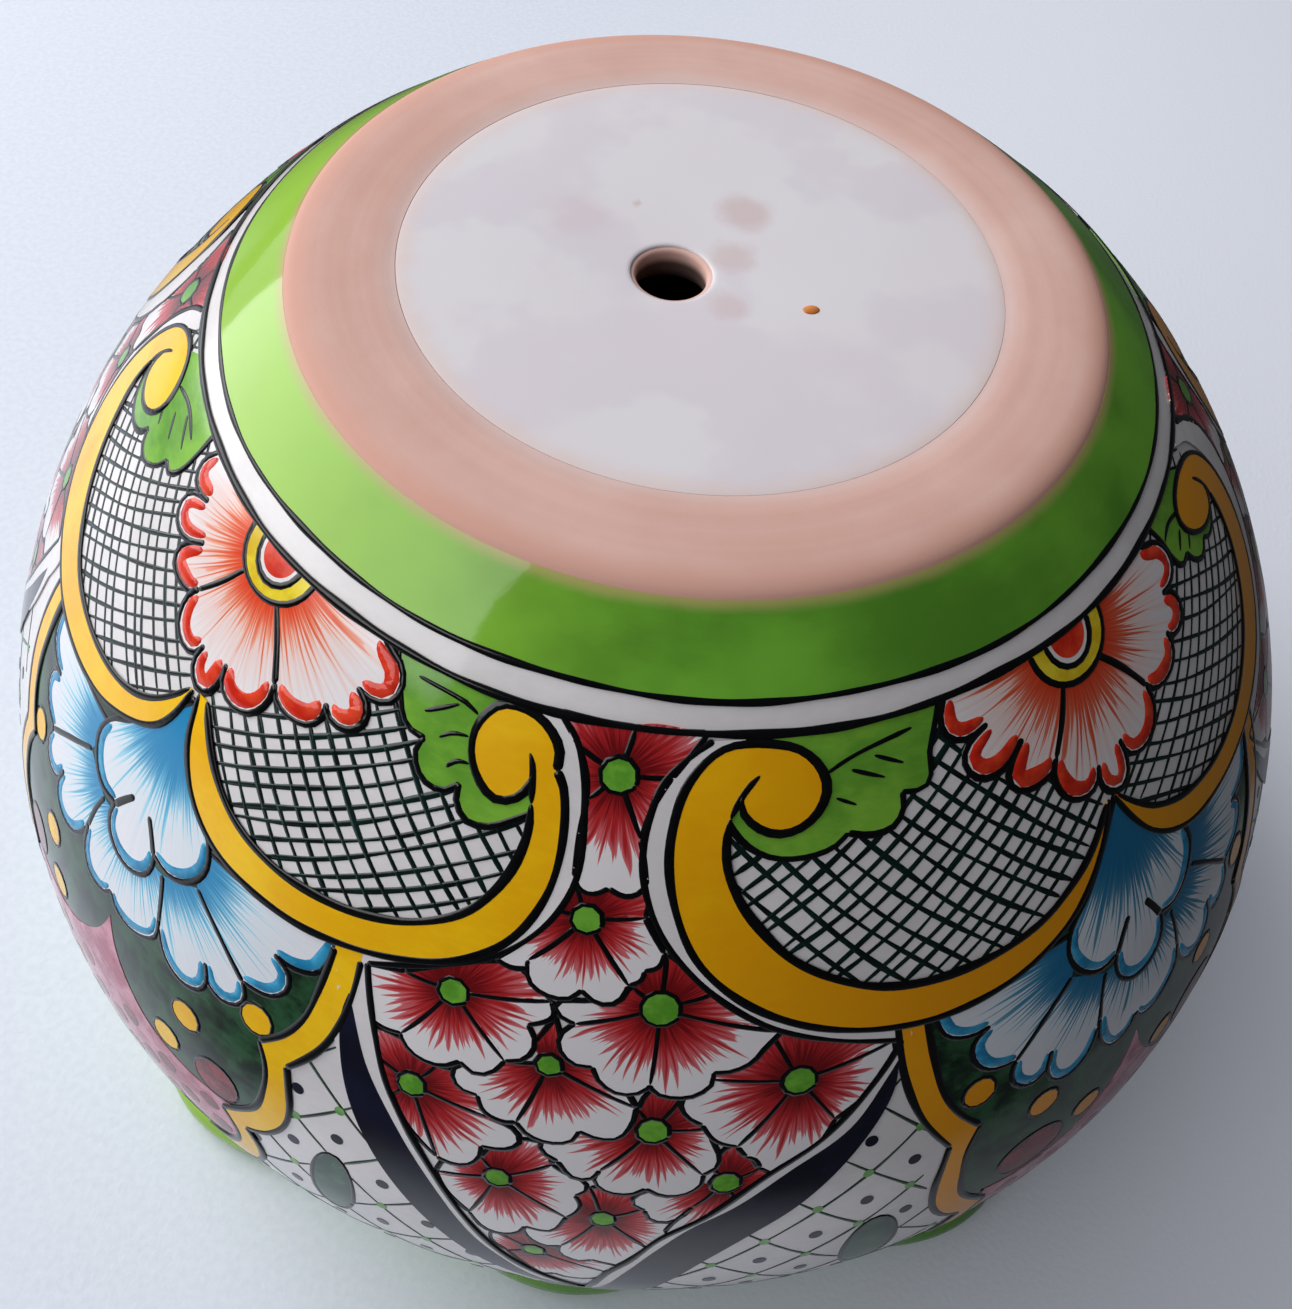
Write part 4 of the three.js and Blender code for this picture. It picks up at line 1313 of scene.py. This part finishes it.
# Raised glaze on the pot

CUT_DEGREES, CUT_ARC = 1.25, 4.0
LIFT_STEP = 0.0006  # keeps the tops of pieces that overlap from lying in one another
FILL_DROP, DEEPEST = 0.35, -0.1
STROKE_DROP = 0.3
# A stroke's section, as shares of its width and of its drop
SECTION = np.array([(-0.56, 0.0), (-0.42, 1.0), (0.42, 1.0), (0.56, 0.0), (-0.56, 0.0)])


def wobble(flat):
    """A slow drift that keeps the back half from repeating the front exactly."""
    bearing, arc = flat[:, 0], flat[:, 1]
    back = np.clip((np.abs((bearing + 180) % 360 - 180) - 85) / 20, 0, 1)
    flat[:, 0] += back * (0.5 * np.sin(np.radians(bearing * 9)) + 0.35 * np.sin(arc / 17))
    flat[:, 1] += back * (1.1 * np.sin(np.radians(bearing * 7) + 1)) * np.clip(arc / 30 - 0.3, 0, 1)
    return flat


def lay_on_pot(piece, sharp=50):
    """Turns a piece's unrolled points into points on the pot."""
    mesh = piece.data
    flat = np.empty(len(mesh.vertices) * 3, np.float32)
    mesh.vertices.foreach_get("co", flat)
    placed = wrap(wobble(flat.reshape(-1, 3).astype(float)))
    mesh.vertices.foreach_set("co", placed.astype(np.float32).ravel())
    mesh.update()
    bm = bmesh.new()
    bm.from_mesh(mesh)
    bmesh.ops.recalc_face_normals(bm, faces=bm.faces[:])
    bm.to_mesh(mesh)
    bm.free()
    mesh.shade_smooth()
    mesh.set_sharp_from_angle(angle=math.radians(sharp))


def cut_fine(bm, outline):
    """Cuts a flat shape across and along, so that it can bend round the pot."""
    for axis, gap, normal in ((0, CUT_DEGREES, (1, 0, 0)), (1, CUT_ARC, (0, 1, 0))):
        low, high = outline[:, axis].min(), outline[:, axis].max()
        for step in range(math.ceil(low / gap), math.floor(high / gap) + 1):
            place = tuple(step * gap * part for part in normal)
            bmesh.ops.bisect_plane(bm, geom=bm.verts[:] + bm.edges[:] + bm.faces[:], dist=1e-4,
                                   plane_co=place, plane_no=normal)
    bmesh.ops.triangulate(bm, faces=bm.faces[:], ngon_method="EAR_CLIP")
    if bm.faces and bm.faces[:][0].normal.z > 0:
        bmesh.ops.reverse_faces(bm, faces=bm.faces[:])


def mark_petal(bm, chance, heart, reach):
    """Gives a shape its own seed, and a petal its place from its heart for the brush hairs."""
    uv = bm.loops.layers.uv["petal"]
    seed = bm.faces.layers.float["seed"]
    for face in bm.faces:
        face[seed] = chance
    if heart:
        across = float(degree_width(heart[1])) / reach
        for face in bm.faces:
            for loop in face.loops:
                x, y, _ = loop.vert.co
                loop[uv].uv = ((x - heart[0]) * across, (y - heart[1]) / reach)


def thicken(bm, lift):
    """Raises a flat shape to its height, with walls that go down into the ground glaze."""
    raised = bmesh.ops.extrude_face_region(bm, geom=bm.faces[:])["geom"]
    for vert in (part for part in raised if isinstance(part, bmesh.types.BMVert)):
        vert.co.z = lift
    for vert in bm.verts:
        if vert.co.z == 0.0:
            vert.co.z = max(lift - FILL_DROP, DEEPEST)
    bmesh.ops.recalc_face_normals(bm, faces=bm.faces[:])


def painted_piece(name, shapes, material, slot):
    """Fills each outline, cuts it fine enough to bend round the pot, thickens it and lays it on."""
    whole = bmesh.new()
    whole.loops.layers.uv.new("petal")
    whole.faces.layers.float.new("seed")
    scratch = bpy.data.meshes.new("scratch")
    for number, (outline, height, heart, reach) in enumerate(shapes):
        bm = bmesh.new()
        bm.loops.layers.uv.new("petal")
        bm.faces.layers.float.new("seed")
        ring = [bm.verts.new((x, y, 0.0)) for x, y in outline.tolist()]
        edges = [bm.edges.new(pair) for pair in zip(ring, ring[1:] + ring[:1])]
        bmesh.ops.contextual_create(bm, geom=edges)
        cut_fine(bm, outline)
        mark_petal(bm, rng.random(), heart, reach)
        thicken(bm, height + LIFT_STEP * (number % 9))
        bm.to_mesh(scratch)
        bm.free()
        whole.from_mesh(scratch)
    bpy.data.meshes.remove(scratch)
    lay_on_pot(finish_piece(name, whole, material, slot, sharp=180))


def brush_thinning(wanted, total, width, ends):
    """How much of its width a stroke keeps along its length: round at both ends, and worn where asked."""
    near = np.clip(np.minimum(wanted, total - wanted) / (0.5 * width), 0, 1)
    thin = np.sqrt(near * (2 - near))
    for side, reach in zip((wanted, total - wanted), ends):
        if reach > 0.5:
            thin = thin * (0.45 + 0.55 * np.clip(side / max(reach * width * 1.6, 0.1), 0, 1))
    return thin


def ridge(points, width, lift, ends, ragged, swell):
    """Sections along a brush stroke, or None where it is too short to draw."""
    scale = local_scale(points[:, 1])
    steps = np.hypot(*(np.diff(points, axis=0) * (scale[1:] + scale[:-1]) / 2).T)
    along = np.concatenate([[0], np.cumsum(steps)])
    total = along[-1]
    if total < 0.8 * width or len(points) < 2:
        return None
    spacing = 2.4 if total > 14 else 1.4
    count = max(int(total / spacing), 3)
    body = np.linspace(0.8 * width, total - 0.8 * width, count) if total > 2.4 * width else [total / 2]
    tip = np.array([0, 0.12 * width, 0.4 * width])
    wanted = np.unique(np.clip(np.concatenate([tip, body, total - tip[::-1]]), 0, total))
    line = np.stack([np.interp(wanted, along, points[:, i]) for i in (0, 1)], 1)
    local = local_scale(line[:, 1])
    normal = sideways(np.stack([np.gradient(line[:, i]) * local[:, i] for i in (0, 1)], 1), 1e-9)
    phase = rng.uniform(0, 6)
    hand = 1 + ragged * (np.sin(wanted / 3.1 + phase) * 0.6 + np.sin(wanted / 8.3 + 2 * phase))
    across = width * brush_thinning(wanted, total, width, ends) * hand
    if swell is not None:
        across = across * np.interp(wanted, np.linspace(0, total, len(swell)), swell)
    section = np.empty((len(wanted), len(SECTION), 3))
    off_line = across[:, None] * SECTION[:, 0]
    section[:, :, :2] = line[:, None] + (normal / local)[:, None] * off_line[:, :, None]
    section[:, :, 2] = lift - STROKE_DROP + STROKE_DROP * SECTION[:, 1]
    return section


def brushed_piece(name, lines, material, slot):
    """Draws every stroke as a low ridge, from one long strip that is cut between the strokes."""
    rows = [ridge(points, width, height + LIFT_STEP * (number % 13), ends, ragged, swell)
            for number, (points, width, height, ends, ragged, swell) in enumerate(lines)]
    rows = [row for row in rows if row is not None]
    sections = np.vstack(rows)
    count, columns = sections.shape[:2]
    bm = bmesh.new()
    bmesh.ops.create_grid(bm, x_segments=columns - 1, y_segments=count - 1, size=1.0)
    bm.verts.ensure_lookup_table()
    bm.faces.ensure_lookup_table()
    for vert, place in zip(bm.verts, sections.reshape(-1, 3).tolist()):
        vert.co = place
    cuts = np.cumsum([len(row) for row in rows])[:-1]
    bridges = [bm.faces[(cut - 1) * (columns - 1) + column] for cut in cuts for column in range(columns - 1)]
    bmesh.ops.delete(bm, geom=bridges, context="FACES_ONLY")
    bmesh.ops.remove_doubles(bm, verts=bm.verts[:], dist=1e-5)
    lay_on_pot(finish_piece(name, bm, material, slot, sharp=180), 75)


# The material and the slot of every painted piece
FILL_FINISHES = {
    "panel_petals": (CRIMSON_PETALS, "crimson_glaze"),
    "green_centres": (DOT_GREEN, "green_glaze"),
    "white_borders": (WHITE, "white_glaze"),
    "navy_bands": (NAVY, "navy_glaze"),
    "yellow_scrolls": (YELLOW, "yellow_glaze"),
    "coral_petals": (CORAL_PETALS, "coral_glaze"),
    "ring_yellow": (RING_YELLOW, "yellow_glaze"),
    "coral_discs": (CORAL, "coral_glaze"),
    "leaves": (LEAF, "green_glaze"),
    "medallion_grounds": (DARK_GREEN, "dark_green_glaze"),
    "medallion_frames": (YELLOW, "yellow_glaze"),
    "blue_petals": (BLUE_PETALS, "blue_glaze"),
    "yellow_ovals": (YELLOW, "yellow_glaze"),
    "plum_ovals": (PLUM, "crimson_glaze"),
    "pink_petals": (PINK, "coral_glaze"),
    "crimson_spots": (PLUM, "crimson_glaze"),
    "navy_dots": (NAVY, "navy_glaze"),
    "net_dots": (PALE_DOT, "green_glaze"),
    "oval_leaves": (OVAL_GREEN, "dark_green_glaze"),
}
STROKE_FINISHES = {
    "outlines": (LINE, "line_glaze"),
    "lattice_lines": (LATTICE, "line_glaze"),
    "coral_rims": (CORAL, "coral_glaze"),
    "blue_rims": (RIM_BLUE, "blue_glaze"),
    "net_lines": (NET, "dark_green_glaze"),
    "band_lines": (LINE, "line_glaze"),
}
for name, shapes in fills.items():
    painted_piece(name, shapes, *FILL_FINISHES[name])
for name, lines in strokes.items():
    brushed_piece(name, lines, *STROKE_FINISHES[name])


def drip():
    """A stray drop of orange glaze on the base."""
    half_sizes, x, y = (0.0022, 0.0016, 0.0005), 0.028, -0.0118
    bm = bmesh.new()
    bmesh.ops.create_uvsphere(bm, u_segments=20, v_segments=12, radius=1.0)
    bmesh.ops.scale(bm, verts=bm.verts[:], vec=half_sizes)
    bmesh.ops.rotate(bm, verts=bm.verts[:], cent=(0, 0, 0), matrix=Matrix.Rotation(0.3, 3, "Z"))
    top = (SLAB_TOP + BASE_GLAZE_THICKNESS) / 1000
    bmesh.ops.translate(bm, verts=bm.verts[:], vec=(x, y, top))
    finish_piece("orange_drip", bm, DRIP, "yellow_glaze")


drip()


# Camera, at the photograph's place

CAMERA_PLACE = (0.0, -0.27395, 0.52249)
YAW, TILT, ROLL = -0.00383, 0.97037, 0.13601
FOCAL_PIXELS, PHOTO_HEIGHT = 1338.72, 1309.0
SENSOR_WIDTH = 36.0


def place_camera():
    data = bpy.data.cameras.new("camera")
    camera = bpy.data.objects.new("camera", data)
    scene.collection.objects.link(camera)
    data.sensor_width = SENSOR_WIDTH
    data.lens = SENSOR_WIDTH * FOCAL_PIXELS / PHOTO_HEIGHT
    forward = Vector((math.sin(YAW) * math.cos(TILT), math.cos(YAW) * math.cos(TILT), -math.sin(TILT)))
    right = forward.cross(Vector((0, 0, 1))).normalized()
    up = right.cross(forward)
    across = math.cos(ROLL) * right + math.sin(ROLL) * up
    upward = -math.sin(ROLL) * right + math.cos(ROLL) * up
    turn = Matrix((across, upward, -forward)).transposed()
    camera.matrix_world = Matrix.Translation(CAMERA_PLACE) @ turn.to_4x4()
    scene.camera = camera


# Floor and light

def pale_floor():
    """A floor that is pale to the camera. It lights the pot less from the right, and the pot mirrors it dark
    but for the places close by and at the left."""
    bm = bmesh.new()
    bmesh.ops.create_grid(bm, x_segments=1, y_segments=1, size=6.0)
    mesh = bpy.data.meshes.new("floor")
    bm.to_mesh(mesh)
    bm.free()
    floor = bpy.data.objects.new("floor", mesh)
    scene.collection.objects.link(floor)
    floor.location.z = -0.0005
    material, r, where = new_material("pale floor", "#DDE1E8", 0.75)
    across = r.parted(where)[0]
    radius = r.from_axis(where)
    plain = r.mix(r.ramp(r.noise(where, 320.0), 0.3, 0.7), "#DEE4EF", "#E4E9F3")
    # painted bluish cast of the shade: the floor turns paler and bluer towards the right (+x)
    plain = r.mix(r.ramp(across, -0.2, 0.3), plain, "#F3F6FE")
    rightward = r.ramp(r.math("DIVIDE", across, radius), -0.88, -0.62)
    away = r.ramp(radius, 0.30, 0.46, 0.12, 0.95)
    ray = r.add("LightPath").outputs
    unseen = r.times(r.math("SUBTRACT", 1.0, ray["Is Camera Ray"]), r.ramp(across, 0.02, 0.32, 0.0, 0.7))
    mirrored = r.times(ray["Is Glossy Ray"], r.times(rightward, away))
    r.coat(r.mix(r.math("MAXIMUM", unseen, mirrored), plain, "#0C0D10"),
           r.bump(r.noise(where, 420.0), 0.16, 0.001))
    mesh.materials.append(material)


def add_lamp(name, place, wide, power, tall=None, roll=0.0):
    """A soft rectangular lamp that faces the middle of the pot."""
    light = bpy.data.lights.new(name, "AREA")
    light.shape = "RECTANGLE"
    light.size = wide
    light.size_y = tall or wide
    light.energy = power
    lamp = bpy.data.objects.new(name, light)
    lamp.location = place
    lamp.rotation_mode = "QUATERNION"
    aim = (Vector((0, 0, 0.15)) - lamp.location).to_track_quat("-Z", "Y")
    lamp.rotation_quaternion = aim @ Quaternion((0, 0, 1), roll)
    scene.collection.objects.link(lamp)
    return lamp


def studio_world():
    """Soft light that is brightest up at the left and back, as from an open sky beyond a wall."""
    world = bpy.data.worlds.new("studio")
    scene.world = world
    world.use_nodes = True
    r = Recipe(world.node_tree)
    outward = r.add("TexCoord").outputs["Generated"]

    def towards(side):
        inputs = {0: outward, 1: Vector(side).normalized()}
        return r.add("VectorMath", inputs, operation="DOT_PRODUCT").outputs["Value"]

    ray = r.add("LightPath").outputs
    soft = r.ramp(towards((-0.85, 0.25, 0.40)), -0.22, 1.0, 0.02, 0.93)
    mirrored = r.ramp(towards((-0.60, 0.72, 0.34)), 0.45, 0.95, 0.03, 0.95)
    colour = r.mix(ray["Is Glossy Ray"], r.mix(soft, "#000000", "#EAEDF5"),
                   r.mix(mirrored, "#000000", "#F0F3FA"))
    background = world.node_tree.nodes["Background"].inputs
    r.feed(background["Color"], r.mix(ray["Is Camera Ray"], colour, "#E4E8EE"))
    background["Strength"].default_value = 1.0


place_camera()
pale_floor()
studio_world()
add_lamp("window", (-1.5, 0.7, 1.6), 1.5, 35.0).visible_glossy = False
add_lamp("fill", (-1.25, -1.4, 1.4), 1.4, 7.0).visible_glossy = False
add_lamp("reflected sky", (-2.13, -0.02, 1.53), 4.3, 46.0, 1.35, 0.5).visible_diffuse = False
